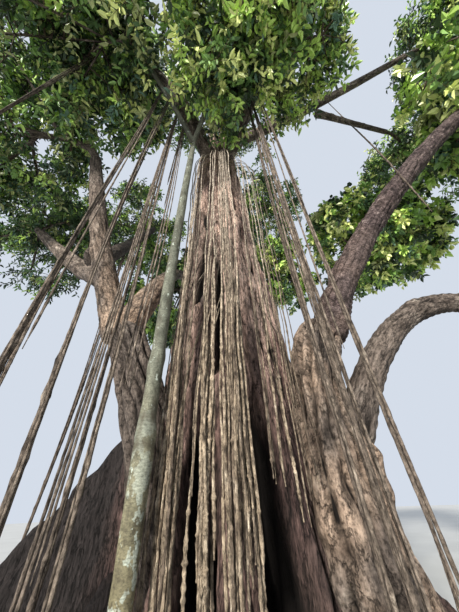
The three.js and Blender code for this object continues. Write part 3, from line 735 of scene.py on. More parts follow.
def limb_part(limb, finish, seed, pale=(0.0, 1.0), rounded=(0.0, 0.0), shaded=0.0, jointed=False):
    """A limb's tube with its bark's relief, made as its finish says. pale says how much bark is worn pale
    and painted pale as sunlit, and how soon that fades along the limb. rounded gives the shares of the limb
    over which its foot and its tip round off."""
    sides, rings, (lumps, marks, furrows, strands, knots) = finish
    _, path, _ = limb
    turn, share, rim, corners = unit_tube(sides, rings)
    heading = curve_heading(path, share)
    side = np.broadcast_to(curve_side(path), heading.shape)
    across = np.cross(heading, side)
    along = share * curve_length(path)
    base = limb_radius(limb, share)
    around = np.stack([np.cos(turn) * base, np.sin(turn) * base, along + seed * GRAIN_STEP], axis=-1)

    swell = lumps * smooth_noise(around, (2.2, 2.2, 1.1)) + 0.4 * lumps * smooth_noise(around, (7, 7, 4))
    ringing = marks * np.abs(np.sin(23 * along + 3 * smooth_noise(around, (4, 4, 2)))) ** 3
    grain = smooth_noise(around, (26, 26, 4.5))
    furrow = furrows * np.minimum(grain, 0)
    bumps = knot_relief(turn, along, path, base, seed, knots)
    wander = 0.5 * smooth_noise(around, (1.6, 1.6, 0.9)) + 0.12 * smooth_noise(around, (7, 7, 3))
    humps = np.abs(np.sin(STRANDS_ROUND_A_STEM / 2 * (turn + wander))) ** 0.65
    ridges = strands * (humps - 0.8)
    radius = base * (1 + 0.05 * np.sin(2 * turn + 5 * share) + swell + ringing + furrow + bumps + ridges)

    foot, tip = rounded
    if foot:
        radius = radius * (0.62 + 0.38 * np.sqrt(1 - (1 - np.clip(share / foot, 0, 1)) ** 2))
    if tip:
        radius = radius * (0.35 + 0.65 * np.sqrt(1 - np.clip((share - 1 + tip) / tip, 0, 1) ** 2))
    joint_shade = 0
    if jointed:
        swelling, joint_shade = joint_swelling(share)
        radius = radius * swelling
    radius = radius * rim
    middle = curve_point(path, share)
    points = middle + side * (radius * np.cos(turn))[:, None] + across * (radius * np.sin(turn))[:, None]
    points[:, 2] = np.maximum(points[:, 2], 0)

    # painted shade in the bark's furrows, in the creases between fused strands, and in the pillar's joint
    crease_shade = np.clip(1.3 * (0.6 - humps), 0, 1) * min(1.0, strands * 11)
    shade_and_specks = np.clip(np.clip(-grain * 1.3, 0, 1) * 0.6 + crease_shade + joint_shade, 0, 1)
    # pale patches, partly wear and partly painted sunlight, fading along the limb
    worn_and_lit = 0.55 + 1.2 * smooth_noise(around, (3, 3, 1.6)) + 0.4 * smooth_noise(around, (9, 9, 5))
    pale_wear_and_light = pale[0] * np.clip(worn_and_lit, 0, 1) * np.exp(-share / pale[1])
    shade = np.full(len(turn), shaded)
    return points, corners, {"shade_and_specks": shade_and_specks, "shade": shade, "pale": pale_wear_and_light, "grain": around}


def limb_rounding(name, carried):
    """The shares of a limb over which its foot and its tip round off. A bough goes on past its tip, which
    stays whole."""
    foot = 0.0
    if carried:
        foot = STEM_ROUNDING if carried in STEMS else BOUGH_ROUNDING
    tip = 0.0 if name in BOUGHS else STEM_ROUNDING
    return foot, tip


def make_limb(name, seed, material):
    limb = LIMBS[name]
    finish = LIMB_FINISH.get(name, USUAL_FINISH)
    pale = PALE_BARK.get(name, USUAL_PALE_BARK)
    rounded = limb_rounding(name, limb[0])
    part = limb_part(limb, finish, seed, pale, rounded, SHADED_BARK.get(name, 0.0), name == "front_pillar")
    mesh = joined_mesh(name + "_relief", [part])
    add_piece(name + "_with_bark", mesh, material, [name])


def make_limbs(bough_material, ringed_material, pillar_material):
    for seed, name in enumerate(LIMBS):
        if name in SMOOTH_LIMBS:
            make_limb(name, seed, pillar_material)
        elif name in RINGED_LIMBS:
            make_limb(name, seed, ringed_material)
        else:
            make_limb(name, seed, bough_material)


# Roots in the air

def bundle_part(line, radii, sides, seed, knots=(), tone=0.0):
    """A root along a line of points, with lumps and with knots: the height, size and half length of each.
    The tone darkens it."""
    rings = len(line) - 1
    turn, share, rim, corners = unit_tube(sides, rings)
    step = np.round(share * rings).astype(int)
    middle = line[step]
    base = radii[step]
    grain = np.stack([np.cos(turn) * base, np.sin(turn) * base, middle[:, 2] + seed * 5.1], axis=-1)
    swell = 0.22 * smooth_noise(grain, (12, 12, 4.5)) + 0.26 * smooth_noise(grain, (40, 40, 26))
    for height, size, half_length in knots:
        swell = swell + size * np.exp(-(((middle[:, 2] - height) / half_length) ** 2))
    radius = base * (1 + swell) * rim
    points = middle + np.stack([radius * np.cos(turn), radius * np.sin(turn), np.zeros(len(turn))], axis=-1)
    # dark specks at random over the root, in the mark that carries painted shade on trunk and limbs
    shade_and_specks = np.clip(-0.1 - smooth_noise(grain, (34, 34, 11)), 0, 1) * 1.3
    # painted sunlight: the root is paler higher up, where the sun falls on it
    pale = 0.95 * np.clip((middle[:, 2] - 2.6) / 3.5, 0, 1)
    shade = np.full(len(turn), tone)
    return points, corners, {"shade_and_specks": shade_and_specks, "shade": shade, "pale": pale, "grain": grain}


def straight_root_line(root, count):
    """The middle of a hanging root from its lower end up, as in the source, with more points low down."""
    bough, at, low, radius = root
    top = curve_point(LIMBS[bough][1], at)
    share = np.linspace(0, 1, count) ** 1.5
    sway = radius * 1.6
    x = top[0] + sway * np.sin(5 * share + at * 20) * (1 - share)
    y = top[1] + sway * np.cos(4 * share + at * 31) * (1 - share)
    z = low + (top[2] - low) * share
    return np.stack([x, y, z], axis=-1), share


def random_knots(draw, count, low, high, thick):
    """Knots on a root, closest together near its lower end."""
    knots = []
    for _ in range(count):
        height = low + (high - low) * next(draw) ** 1.7
        knots.append((height, 0.15 + 0.65 * next(draw) ** 2, thick * (0.5 + 0.8 * next(draw))))
    return knots


def moved_aside(line, reach, bearing):
    """The line moved level by a reach, toward a bearing."""
    return line + np.stack([reach * np.cos(bearing), reach * np.sin(bearing), np.zeros(len(line))], axis=-1)


def fused_strand(line, share, root, draw, seed, k):
    """A thinner root that has fused with a hanging root. Even and odd ones wind in opposite ways."""
    _, _, low, radius = root
    bearing = 2 * math.pi * next(draw) + 2.2 * share * (1 if k % 2 else -1)
    reach = radius * (0.36 + 0.5 * np.sin(2.2 * share + 1.7 * k) ** 4)
    begin = int(ROOT_POINTS * 0.35 * next(draw)) if low > 0 else 0
    radii = np.full(len(share), radius * (0.16 + 0.12 * next(draw)))
    knots = random_knots(draw, 12, low, line[-1, 2], radius * 0.6)
    tone = 0.15 + 0.8 * next(draw)
    return bundle_part(moved_aside(line, reach, bearing)[begin:], radii[begin:], 7, seed, knots, tone)


def loose_strand(line, share, low, draw, seed, place):
    """A thin root that hangs beside a hanging root. place is the share of a turn at which it hangs."""
    bearing = 2 * math.pi * place
    reach = (0.05 + 0.06 * next(draw)) * (1 - share**2)
    begin = int(ROOT_POINTS * 0.63 * next(draw) ** 2)
    radii = np.full(len(share), 0.008 + 0.005 * next(draw))
    radii = radii * np.clip((share - share[begin]) / 0.02, 0.3, 1)
    knots = random_knots(draw, 12, low, line[-1, 2], 0.015)
    tone = 0.3 * next(draw)
    return bundle_part(moved_aside(line, reach, bearing)[begin:], radii[begin:], 6, seed, knots, tone)


def hanging_root_parts(index, root):
    """One hanging root: a main strand, thinner ones that have fused along it, and loose ones beside it."""
    _, _, low, radius = root
    line, share = straight_root_line(root, ROOT_POINTS)
    end = np.clip(share / 0.06, 0.3, 1) if low > 0 else np.ones(len(share))
    draw = seeded_random(HANGING_ROOT_SEED + index)
    knots = random_knots(draw, 16, low, line[-1, 2], radius) + OWN_KNOTS.get(index, [])
    tone = 0.2 + 0.5 * next(draw)
    radii = radius * (1 - 0.3 * share) * end * 0.46
    parts = [bundle_part(line, radii, 12, index, knots, tone)]
    for k in range(3 if radius > 0.03 else 1):
        parts.append(fused_strand(line, share, root, draw, index * 10 + k, k))
    loose = LOOSE_STRANDS.get(index, 0)
    for k in range(loose):
        place = (k + next(draw)) / loose
        parts.append(loose_strand(line, share, low, draw, index * 10 + 5 + k, place))
    return parts


def make_hanging_roots(material):
    for index, root in enumerate(HANGING_ROOTS):
        name = f"hanging_root_{index + 1:02d}"
        mesh = joined_mesh(name + "_relief", hanging_root_parts(index, root))
        add_piece(name + "_with_bark", mesh, material, [name])


def strand_line(bearing, hang, radius, heights):
    """A curtain strand's middle: straight down, and pushed out where the trunk swells. It leaves the trunk
    at the last of the heights."""
    middle = trunk_middle(heights)
    x = CURTAIN_MIDDLE[0] + hang * math.cos(bearing) - middle[:, 0]
    y = CURTAIN_MIDDLE[1] + hang * math.sin(bearing) - middle[:, 1]
    angle = np.arctan2(y, x)
    bark = trunk_radius(angle, heights)
    spring = heights[-1] - (CURTAIN_TOP - CURTAIN_SPRING) * min(1, 1.6 * hang - 0.9 * bark[-1])
    rooted = np.maximum(0, (heights - spring) / (heights[-1] - spring)) ** 2
    hanging = np.maximum(np.hypot(x, y), bark * 1.02 + radius + SKIRT_GAP)
    distance = hanging + (bark - 3 * radius - hanging) * rooted
    x = middle[:, 0] + distance * np.cos(angle)
    y = middle[:, 1] + distance * np.sin(angle)
    return np.stack([x, y, heights], axis=-1)


def curtain_strand(bearing, hang, radius, ends, draw, seed, shift, tone):
    """One strand with its small bends and knots. ends gives its lower and upper end and its spread at the
    foot. shift moves it aside, and more so toward its lower end."""
    bottom, top, spread = ends
    share = np.linspace(0, 1, STRAND_POINTS) ** 1.7
    heights = bottom + (top - bottom) * share
    line = strand_line(bearing, hang, radius, heights)
    sway = 0.016 * np.sin(heights * (0.8 + 1.2 * next(draw)) + 6 * next(draw)) * (1 - share**4)
    sway += 0.005 * np.sin(heights * (5 + 4 * next(draw)) + 6 * next(draw))
    low_down = 1 + spread * np.clip((2.6 - heights) / 1.6, 0, 1) ** 1.5
    line[:, 0] += sway + shift[0] * low_down
    line[:, 1] += shift[1] - 0.6 * np.abs(sway)
    thicker = 1 + 0.25 * np.clip((3 - heights) / 2, 0, 1)
    radii = radius * np.clip((heights - bottom) / 0.15, 0.3, 1) * (1 - 0.35 * share) * thicker
    knots = random_knots(draw, STRAND_KNOTS, bottom, top * 0.8, 0.5 * radius + 0.005)
    return bundle_part(line, radii, 6, seed, knots, tone)


def thick_strand(index, k, first, draw):
    """One of the roots that a strand of the source has grown together from."""
    _, hang, _, step, low, radius = CURTAINS[index]
    share, together, _, spread, dark, low_tops = CURTAIN_FINISH[index]
    strand, member = divmod(k, together)
    degrees = first + step * strand
    bottom = max(low + 0.42 * (strand % 3), np.interp(degrees, STRAND_END_ANGLES, STRAND_END_HEIGHTS))
    starts_low = next(draw) < low_tops
    top = CURTAIN_TOP - (3 + 2.5 * next(draw) if starts_low else 0)
    ends = (bottom + 0.4 * member * next(draw), top, spread)
    turn = 2.1 * member + 2 * next(draw)
    shift = (radius * 0.75 * math.cos(turn), radius * 0.75 * math.sin(turn))
    thick = radius * share * (0.75 + 0.5 * next(draw))
    tone = dark * 1.4 * next(draw) ** 1.5
    return curtain_strand(math.radians(degrees), hang, thick, ends, draw, 60 * index + k, shift, tone)


def thin_strand(index, k, first, draw):
    """One of the thin roots that hang among a curtain's strands."""
    _, hang, strands, step, _, _ = CURTAINS[index]
    _, _, thin_count, spread, dark, low_tops = CURTAIN_FINISH[index]
    degrees = first + step * (strands - 1) * ((k + next(draw)) / thin_count * 1.08 - 0.02)
    bottom = np.interp(degrees, STRAND_END_ANGLES, STRAND_END_HEIGHTS) + 1.6 * next(draw) ** 2
    out = hang + 0.16 * (next(draw) - 0.4)
    starts_low = next(draw) < low_tops
    top = CURTAIN_TOP - 0.02 - (3 + 2.5 * next(draw) if starts_low else 0.4 * next(draw))
    thin = 0.005 + 0.0055 * next(draw) ** 2
    shift = (0.02 * (next(draw) - 0.5), 0.0)
    tone = dark * 1.6 * next(draw)
    seed = 60 * index + 20 + k
    return curtain_strand(math.radians(degrees), out, thin, (bottom, top, spread), draw, seed, shift, tone)


def make_curtains(material):
    for index, (angle, _, strands, step, _, _) in enumerate(CURTAINS):
        _, together, thin_count, *_ = CURTAIN_FINISH[index]
        draw = seeded_random(CURTAIN_SEED + index)
        first = angle - step * (strands - 1) / 2
        parts = [thick_strand(index, k, first, draw) for k in range(strands * together)]
        parts += [thin_strand(index, k, first, draw) for k in range(thin_count)]
        name = f"root_curtain_{index + 1}"
        mesh = joined_mesh(name + "_relief", parts)
        add_piece(name + "_strands", mesh, material, [name])


# Foliage

def mass_size(name):
    return sum(MASSES[name][2]) / 3


def inside_space(name, points, margin=SPACE_MARGIN):
    """Whether points lie in a mass's own space: its ellipsoid, on its side of the flat borders."""
    centre = np.array(MASSES[name][1])
    ok = (((points - centre) / np.array(MASSES[name][2])) ** 2).sum(axis=-1) <= 1
    ours = ((points - centre) ** 2).sum(axis=-1) - mass_size(name) ** 2
    for other, (_, other_centre, _) in MASSES.items():
        if other == name:
            continue
        theirs = ((points - np.array(other_centre)) ** 2).sum(axis=-1) - mass_size(other) ** 2
        apart = np.linalg.norm(np.array(other_centre) - centre)
        ok &= (theirs - ours) / (2 * apart) > margin
    return ok


def limb_obstacles(own_bough):
    """Points and radii along every limb and hanging root that foliage keeps clear of. The last stretch of
    its own bough isn't among them."""
    points, radii = [], []
    for name, limb in LIMBS.items():
        steps = LIMB_SAMPLES - 3 if name == own_bough else LIMB_SAMPLES
        t = np.arange(steps + 1) / LIMB_SAMPLES
        points.append(curve_point(limb[1], t))
        radii.append(limb_radius(limb, t))
    for bough, at, low, radius in HANGING_ROOTS:
        top = curve_point(LIMBS[bough][1], at)
        heights = low + (top[2] - low) * np.arange(ROOT_SAMPLES + 1) / ROOT_SAMPLES
        x = np.full(len(heights), top[0])
        y = np.full(len(heights), top[1])
        points.append(np.stack([x, y, heights], axis=-1))
        radii.append(np.full(len(heights), radius * 3))
    return np.concatenate(points), np.concatenate(radii)


def touches_limb(obstacles, starts, ends, room):
    """Whether each segment comes too near to a limb."""
    points, radii = obstacles
    run = ends - starts
    share = np.einsum("ijk,ik->ij", points[None] - starts[:, None], run) / (run**2).sum(-1)[:, None]
    nearest = starts[:, None] + np.clip(share, 0, 1)[..., None] * run[:, None]
    return (np.linalg.norm(nearest - points[None], axis=-1) < radii + room).any(axis=1)


def inside_box(points, edge):
    """Whether points lie in the solids' box, and clear of its sides by an edge."""
    low, high = np.array(cad_low) + edge, np.array(cad_high) - edge
    return ((points > low) & (points < high)).all(axis=1)


def mass_stem(name):
    """The stem that goes on from a bough's tip to near the middle of its mass, as a limb."""
    bough = LIMBS[MASSES[name][0]]
    onward = curve_heading(bough[1], 1.0)
    tip = curve_point(bough[1], 1.0) + onward * FACE_GAP
    hub = tip + (np.array(MASSES[name][1]) - tip) * 0.75
    bend = tip + onward * np.linalg.norm(hub - tip) * 0.4
    radius = bough[2][1] * 0.8
    return (None, [tip, bend, hub], (radius, radius * 0.55))


def mass_twigs(name, seed, stem, obstacles):
    """The source's own twigs: from the stem to points spread over the mass by the golden angle."""
    draw = seeded_random(seed)
    centre, radii = np.array(MASSES[name][1]), np.array(MASSES[name][2])
    twigs = []
    for k in range(TWIGS_PER_MASS):
        height = 1 - (2 * k + 1) / TWIGS_PER_MASS
        around = k * GOLDEN_ANGLE + next(draw) * 0.7
        flat = math.sqrt(1 - height * height)
        direction = np.array([flat * math.cos(around), flat * math.sin(around), height])
        start = curve_point(stem[1], 0.55 + 0.42 * ((k * 0.618) % 1))
        target = direction * radii * TWIG_REACH + centre
        for _ in range(8):
            if inside_space(name, target):
                break
            target = target + (centre - target) * 0.12
        halfway = (start + target) / 2
        if not touches_limb(obstacles, halfway[None], target[None], LIMB_ROOM)[0]:
            twigs.append((start, target))
    return twigs


def spread_targets(name, rng, obstacles, count):
    """Points through a mass's space, closer together toward its outside."""
    centre, radii = np.array(MASSES[name][1]), np.array(MASSES[name][2])
    found = np.empty((0, 3))
    while len(found) < count:
        direction = unit(rng.normal(size=(count * 2, 3)))
        reach = 0.93 * rng.uniform(0.02, 1, (count * 2, 1)) ** 0.42
        points = centre + direction * reach * radii
        keep = inside_space(name, points, 0.12) & inside_box(points, 0.25)
        clumps = smooth_noise(points, (0.75, 0.75, 0.75)) + 0.5 * smooth_noise(points, (1.7, 1.7, 1.7))
        keep &= clumps > GAP_LEVEL
        keep &= ~touches_limb(obstacles, points, points + 0.01, 0.12)
        found = np.concatenate([found, points[keep]])
    return found[:count]


def sticks(starts, ends, thick, thin):
    """Three-sided tapering sticks, closed at both ends."""
    along = unit(ends - starts)
    level = np.where(np.abs(along[:, 2:]) < 0.9, (0.0, 0.0, 1.0), (1.0, 0.0, 0.0))
    side = unit(np.cross(along, level))
    up = np.cross(side, along)
    turns = np.arange(3) * 2 * math.pi / 3
    ring = side[:, None] * np.cos(turns)[None, :, None] + up[:, None] * np.sin(turns)[None, :, None]
    points = np.concatenate([starts[:, None] + ring * thick, ends[:, None] + ring * thin], axis=1)
    faces = np.array([[0, 3, 4, 1], [1, 4, 5, 2], [2, 5, 3, 0]])
    caps = np.array([[0, 1, 2], [5, 4, 3]])
    first = (np.arange(len(starts)) * 6)[:, None, None]
    corners = list((faces + first).reshape(-1, 4)) + list((caps + first).reshape(-1, 3))
    return points.reshape(-1, 3), corners, {}


def leaf_blades(feet, along, tilt, lengths, widths):
    """Leaves in their own outline, folded along the midrib, with the tip turned down: six points each."""
    level = np.where(np.abs(along[:, 2:]) < 0.95, (0.0, 0.0, 1.0), (1.0, 0.0, 0.0))
    flat = unit(np.cross(along, level))
    up = np.cross(flat, along)
    side = flat * np.cos(tilt)[:, None] + up * np.sin(tilt)[:, None]
    face = np.cross(side, along)
    points = []
    for run, across, lift in LEAF_OUTLINE:
        point = feet + along * (run * lengths)[:, None] + side * (across * widths)[:, None]
        points.append(point + face * (lift * lengths)[:, None])
    return np.stack(points, axis=1)


def grow_side_twigs(name, rng, obstacles, joints):
    """Side twigs in two steps with a bow: their feet on the nearest twig, their elbows and their tips."""
    tips = spread_targets(name, rng, obstacles, DENSE_MASSES.get(name, TARGETS_PER_MASS))
    feet = joints[np.linalg.norm(tips[:, None] - joints[None], axis=-1).argmin(axis=1)]
    elbows = (feet + tips) / 2 + rng.normal(size=tips.shape) * 0.06
    elbows[:, 2] += 0.12 * np.linalg.norm(tips - feet, axis=1)
    return feet, elbows, tips


def grow_shoots(name, rng, obstacles, elbows, ends):
    """Shoots from the outer half of each side twig, away from the middle of the mass: their feet, headings
    and lengths."""
    share = rng.uniform(0.1, 1, (len(ends), SHOOTS_PER_TARGET, 1))
    feet = (elbows[:, None] * (1 - share) + ends[:, None] * share).reshape(-1, 3)
    outward = unit(feet - np.array(MASSES[name][1]))
    heading = unit(outward * 0.55 + rng.normal(size=feet.shape) * 0.75 + np.array([0, 0, 0.12]))
    length = rng.uniform(0.32, 0.72, len(feet))
    tips = feet + heading * length[:, None]
    keep = inside_space(name, tips) & inside_box(tips, 0.12)
    keep &= ~touches_limb(obstacles, feet, tips, 0.05)
    return feet[keep], heading[keep], length[keep]


def grow_leaves(name, rng, shoots):
    """Leaves that stand on alternate sides of each shoot and hang a little, and the tint of each."""
    roots, heading, length = shoots
    count = LEAVES_PER_SHOOT
    place = (np.arange(count) + 0.5 + rng.uniform(-0.3, 0.3, (len(roots), count))) / count
    feet = roots[:, None] + heading[:, None] * (0.12 + 0.9 * place)[..., None] * length[:, None, None]
    feet = feet.reshape(-1, 3)
    spin = np.arange(count) * GOLDEN_ANGLE + rng.uniform(0, 6.28, (len(roots), 1))
    level = unit(np.cross(heading, (0.3, 0.2, 1.0)))
    other = np.cross(level, heading)
    away = level[:, None] * np.cos(spin)[..., None] + other[:, None] * np.sin(spin)[..., None]
    along = heading[:, None] * 0.45 + away + np.array([0, 0, -0.32]) + rng.normal(size=away.shape) * 0.2
    along = unit(along).reshape(-1, 3)
    usual_length, usual_width = BROAD_LEAF if name in BROAD_LEAVED else USUAL_LEAF
    lengths = usual_length * rng.uniform(0.65, 1.2, len(feet))
    widths = lengths * usual_width * rng.uniform(0.85, 1.15, len(feet))
    blades = leaf_blades(feet, along, rng.normal(size=len(feet)) * 0.5, lengths, widths)

    chances = np.array(MASS_TINTS.get(name, USUAL_TINTS))
    tints = np.repeat(rng.choice(len(chances), len(roots), p=chances / chances.sum()), count)
    odd = rng.uniform(size=len(tints)) < ODD_TINTS
    tints[odd] = rng.choice(len(chances), odd.sum())
    return blades, tints


def grow_mass(name, seed):
    """Everything in one mass: stem and twigs, side twigs and shoots, and the leaves with their tints."""
    rng = np.random.default_rng(seed)
    obstacles = limb_obstacles(MASSES[name][0])
    stem = mass_stem(name)
    twigs = mass_twigs(name, seed, stem, obstacles)
    wood = [limb_part(stem, MASS_STEM_FINISH, seed)]
    for start, target in twigs:
        bow = (start + target) / 2 + np.array([0, 0, 0.06 * np.linalg.norm(target - start)])
        twig = (None, [start, bow, target], (stem[2][0] * 0.5, TWIG_TIP))
        wood.append(limb_part(twig, MASS_TWIG_FINISH, seed))

    joints = [curve_point(stem[1], np.linspace(0.55, 1, 8))]
    joints += [start + (target - start) * np.linspace(0.25, 1, 14)[:, None] for start, target in twigs]
    feet, elbows, tips = grow_side_twigs(name, rng, obstacles, np.concatenate(joints))
    shoots = grow_shoots(name, rng, obstacles, elbows, tips)
    shoot_feet, heading, length = shoots
    thin_wood = [
        sticks(feet, elbows, SIDE_TWIG_RADII[0], SIDE_TWIG_RADII[1]),
        sticks(elbows, tips, SIDE_TWIG_RADII[1], SIDE_TWIG_RADII[2]),
        sticks(shoot_feet, shoot_feet + heading * length[:, None], *SHOOT_RADII),
    ]
    blades, tints = grow_leaves(name, rng, shoots)
    return wood, thin_wood, blades, tints


def leaf_mesh(name, blades):
    """A mesh of leaves: two halves each, on either side of the midrib."""
    halves = np.array([[0, 3, 2, 1], [0, 5, 4, 3]])
    faces = halves[None] + (np.arange(len(blades)) * len(LEAF_OUTLINE))[:, None, None]
    return new_mesh(name, blades.reshape(-1, 3), faces.ravel(), np.full(len(blades) * 2, 4))


def make_foliage(bough_material, twig_material, leaf_materials):
    wood, thin_wood, blades, tints = [], [], [], []
    for index, name in enumerate(MASSES):
        source_seed = 100 + 7 * index
        grown = grow_mass(name, source_seed)
        wood += grown[0]
        thin_wood += grown[1]
        blades.append(grown[2])
        tints.append(grown[3])
    masses = list(MASSES)
    add_piece("crown_stems", joined_mesh("crown_stems_relief", wood), bough_material, masses)
    add_piece("crown_twigs", joined_mesh("crown_twigs", thin_wood), twig_material, masses)
    blades, tints = np.concatenate(blades), np.concatenate(tints)
    for index, tint in enumerate(LEAF_TINTS):
        mesh = leaf_mesh("leaves_" + tint, blades[tints == index])
        add_piece("crown_leaves_" + tint, mesh, leaf_materials[tint], masses, smooth=False)


# Materials

def new_material(name):
    material = bpy.data.materials.new(name)
    material.use_nodes = True
    return material, material.node_tree.nodes, material.node_tree.links


def noise_node(nodes, links, source, scale, detail=6.0, roughness=0.6, stretch=(1, 1, 1)):
    mapping = nodes.new("ShaderNodeMapping")
    mapping.inputs["Scale"].default_value = stretch
    links.new(source, mapping.inputs["Vector"])
    texture = nodes.new("ShaderNodeTexNoise")
    texture.inputs["Scale"].default_value = scale
    texture.inputs["Detail"].default_value = detail
    texture.inputs["Roughness"].default_value = roughness
    links.new(mapping.outputs["Vector"], texture.inputs["Vector"])
    return texture.outputs["Fac"]


def ramp_node(nodes, links, source, stops):
    ramp = nodes.new("ShaderNodeValToRGB")
    elements = ramp.color_ramp.elements
    while len(elements) < len(stops):
        elements.new(0.5)
    for element, (place, colour) in zip(elements, stops):
        element.position = place
        element.color = (*colour, 1)
    links.new(source, ramp.inputs["Fac"])
    return ramp.outputs["Color"]


def mix_node(nodes, links, factor, first, second):
    """The first colour, going over to the second by the factor. Either is a value or an output."""
    mix = nodes.new("ShaderNodeMix")
    mix.data_type = "RGBA"
    links.new(factor, mix.inputs["Factor"])
    for socket, value in ((mix.inputs["A"], first), (mix.inputs["B"], second)):
        if isinstance(value, tuple):
            socket.default_value = (*value, 1)
        else:
            links.new(value, socket)
    return mix.outputs["Result"]


def multiplied(nodes, links, colour, by, strength):
    mix = nodes.new("ShaderNodeMix")
    mix.data_type = "RGBA"
    mix.blend_type = "MULTIPLY"
    mix.inputs["Factor"].default_value = strength
    links.new(colour, mix.inputs["A"])
    links.new(by, mix.inputs["B"])
    return mix.outputs["Result"]


def bump_node(nodes, links, height, strength, distance, under=None):
    bump = nodes.new("ShaderNodeBump")
    bump.inputs["Strength"].default_value = strength
    bump.inputs["Distance"].default_value = distance
    links.new(height, bump.inputs["Height"])
    if under:
        links.new(under, bump.inputs["Normal"])
    return bump.outputs["Normal"]


def attribute_node(nodes, name):
    attribute = nodes.new("ShaderNodeAttribute")
    attribute.attribute_name = name
    return attribute.outputs


def grey(value):
    return (value, value, value)


def cracks_node(nodes, links, grain, scale, stretch, width):
    """Thin dark lines along the bark, as white with dark veins."""
    veins = noise_node(nodes, links, grain, scale, 5, 0.62, stretch)
    stops = [(0.5 - width, grey(1)), (0.5, grey(0.06)), (0.5 + width, grey(1))]
    return ramp_node(nodes, links, veins, stops)


def bark_material(name, tones, patches, stretch, bump, scale=10, cracks=0.0, pale=None, darker=None):
    """Bark that streaks along its limb: tones from dark to light, a patch colour, dark specks and painted
    glints, dark cracks, painted shade in the hollows and creases that the mesh marks, with dark specks on
    roots, and two tones each for what the mesh marks as worn pale with painted sunlight, and as shaded or a
    darker strand."""
    material, nodes, links = new_material(name)
    shader = nodes["Principled BSDF"]
    shader.inputs["Specular IOR Level"].default_value = 0.25
    grain = attribute_node(nodes, "grain")["Vector"]
    depth = attribute_node(nodes, "shade_and_specks")["Fac"]

    streaks = noise_node(nodes, links, grain, scale, 9, 0.70, stretch)
    lowest, highest = 0.35, 0.67
    places = [lowest + (highest - lowest) * k / (len(tones) - 1) for k in range(len(tones))]
    colour = ramp_node(nodes, links, streaks, list(zip(places, tones)))

    broad = noise_node(nodes, links, grain, 1.7, 5, 0.6, (1, 1, 0.5))
    patch = ramp_node(nodes, links, broad, [(0.49, grey(0)), (0.60, grey(0.75))])
    colour = mix_node(nodes, links, patch, colour, patches)
    # pale is wear and painted sunlight; shade is painted shade, and on roots a darker tone at random
    for mark, pair in (("pale", pale), ("shade", darker)):
        if pair:
            amount = attribute_node(nodes, mark)["Fac"]
            tone = mix_node(nodes, links, streaks, *pair)
            colour = mix_node(nodes, links, amount, colour, tone)

    # specks: dark ones, and bright ones that are painted glints
    specks_and_glints = noise_node(nodes, links, grain, 46, 6, 0.75, (1, 1, max(0.25, stretch[2])))
    light = ramp_node(nodes, links, specks_and_glints, [(0.36, (0.16, 0.15, 0.14)), (0.60, grey(1.7))])
    colour = multiplied(nodes, links, colour, light, 0.85)
    lines = cracks_node(nodes, links, grain, scale * 0.8, stretch, 0.022)
    colour = multiplied(nodes, links, colour, lines, cracks)
    # painted shade in the marked hollows and creases, and dark specks on the roots
    dark = ramp_node(nodes, links, depth, [(0.12, grey(0)), (0.75, grey(1))])
    colour = mix_node(nodes, links, dark, colour, SHADE_AND_SPECK_TONE)
    links.new(colour, shader.inputs["Base Color"])
    dull = ramp_node(nodes, links, streaks, [(0.3, grey(0.95)), (0.75, grey(0.66))])
    links.new(dull, shader.inputs["Roughness"])

    rough = bump_node(nodes, links, streaks, bump, 0.06)
    split = bump_node(nodes, links, lines, cracks, 0.02, rough)
    fine = bump_node(nodes, links, specks_and_glints, 0.8 * bump, 0.012, split)
    links.new(fine, shader.inputs["Normal"])
    return material


def pillar_material(name):
    """Smooth bark, olive below and grey-green above, with pale lichen: large patches near the foot, and
    small ones all the way up."""
    material, nodes, links = new_material(name)
    shader = nodes["Principled BSDF"]
    shader.inputs["Roughness"].default_value = 0.75
    grain = attribute_node(nodes, "grain")["Vector"]
    height = nodes.new("ShaderNodeSeparateXYZ")
    links.new(grain, height.inputs["Vector"])
    mottle = noise_node(nodes, links, grain, 8, 9, 0.70, (1, 1, 0.7))
    olive = [(0.36, (0.065, 0.052, 0.023)), (0.64, (0.27, 0.235, 0.125))]
    grey_green = [(0.36, (0.048, 0.051, 0.036)), (0.64, (0.18, 0.19, 0.145))]
    low_tone = ramp_node(nodes, links, mottle, olive)
    high_tone = ramp_node(nodes, links, mottle, grey_green)
    rise = nodes.new("ShaderNodeMapRange")
    rise.inputs["From Min"].default_value = PILLAR_GRAIN_START + 1.2
    rise.inputs["From Max"].default_value = PILLAR_GRAIN_START + 3.2
    links.new(height.outputs["Z"], rise.inputs["Value"])
    above = rise.outputs["Result"]
    colour = mix_node(nodes, links, above, low_tone, high_tone)

    for scale, edge, fading in ((5.5, 0.56, True), (13, 0.62, False)):
        growth = noise_node(nodes, links, grain, scale, 8, 0.62, (1, 1, 0.7))
        mask = ramp_node(nodes, links, growth, [(edge, grey(0)), (edge + 0.015, grey(0.95))])
        if fading:
            mask = mix_node(nodes, links, above, mask, grey(0))
        colour = mix_node(nodes, links, mask, colour, LICHEN_TONE)
    # specks: dark ones, and bright ones that are painted glints
    specks_and_glints = noise_node(nodes, links, grain, 40, 6, 0.75, (1, 1, 1.6))
    light = ramp_node(nodes, links, specks_and_glints, [(0.36, (0.32, 0.31, 0.28)), (0.60, grey(1.4))])
    colour = multiplied(nodes, links, colour, light, 0.75)
    # painted shade in the furrows and in the joint's creases
    depth = attribute_node(nodes, "shade_and_specks")["Fac"]
    colour = mix_node(nodes, links, depth, colour, (0.06, 0.05, 0.03))
    links.new(colour, shader.inputs["Base Color"])
    links.new(bump_node(nodes, links, specks_and_glints, 0.5, 0.012), shader.inputs["Normal"])
    return material


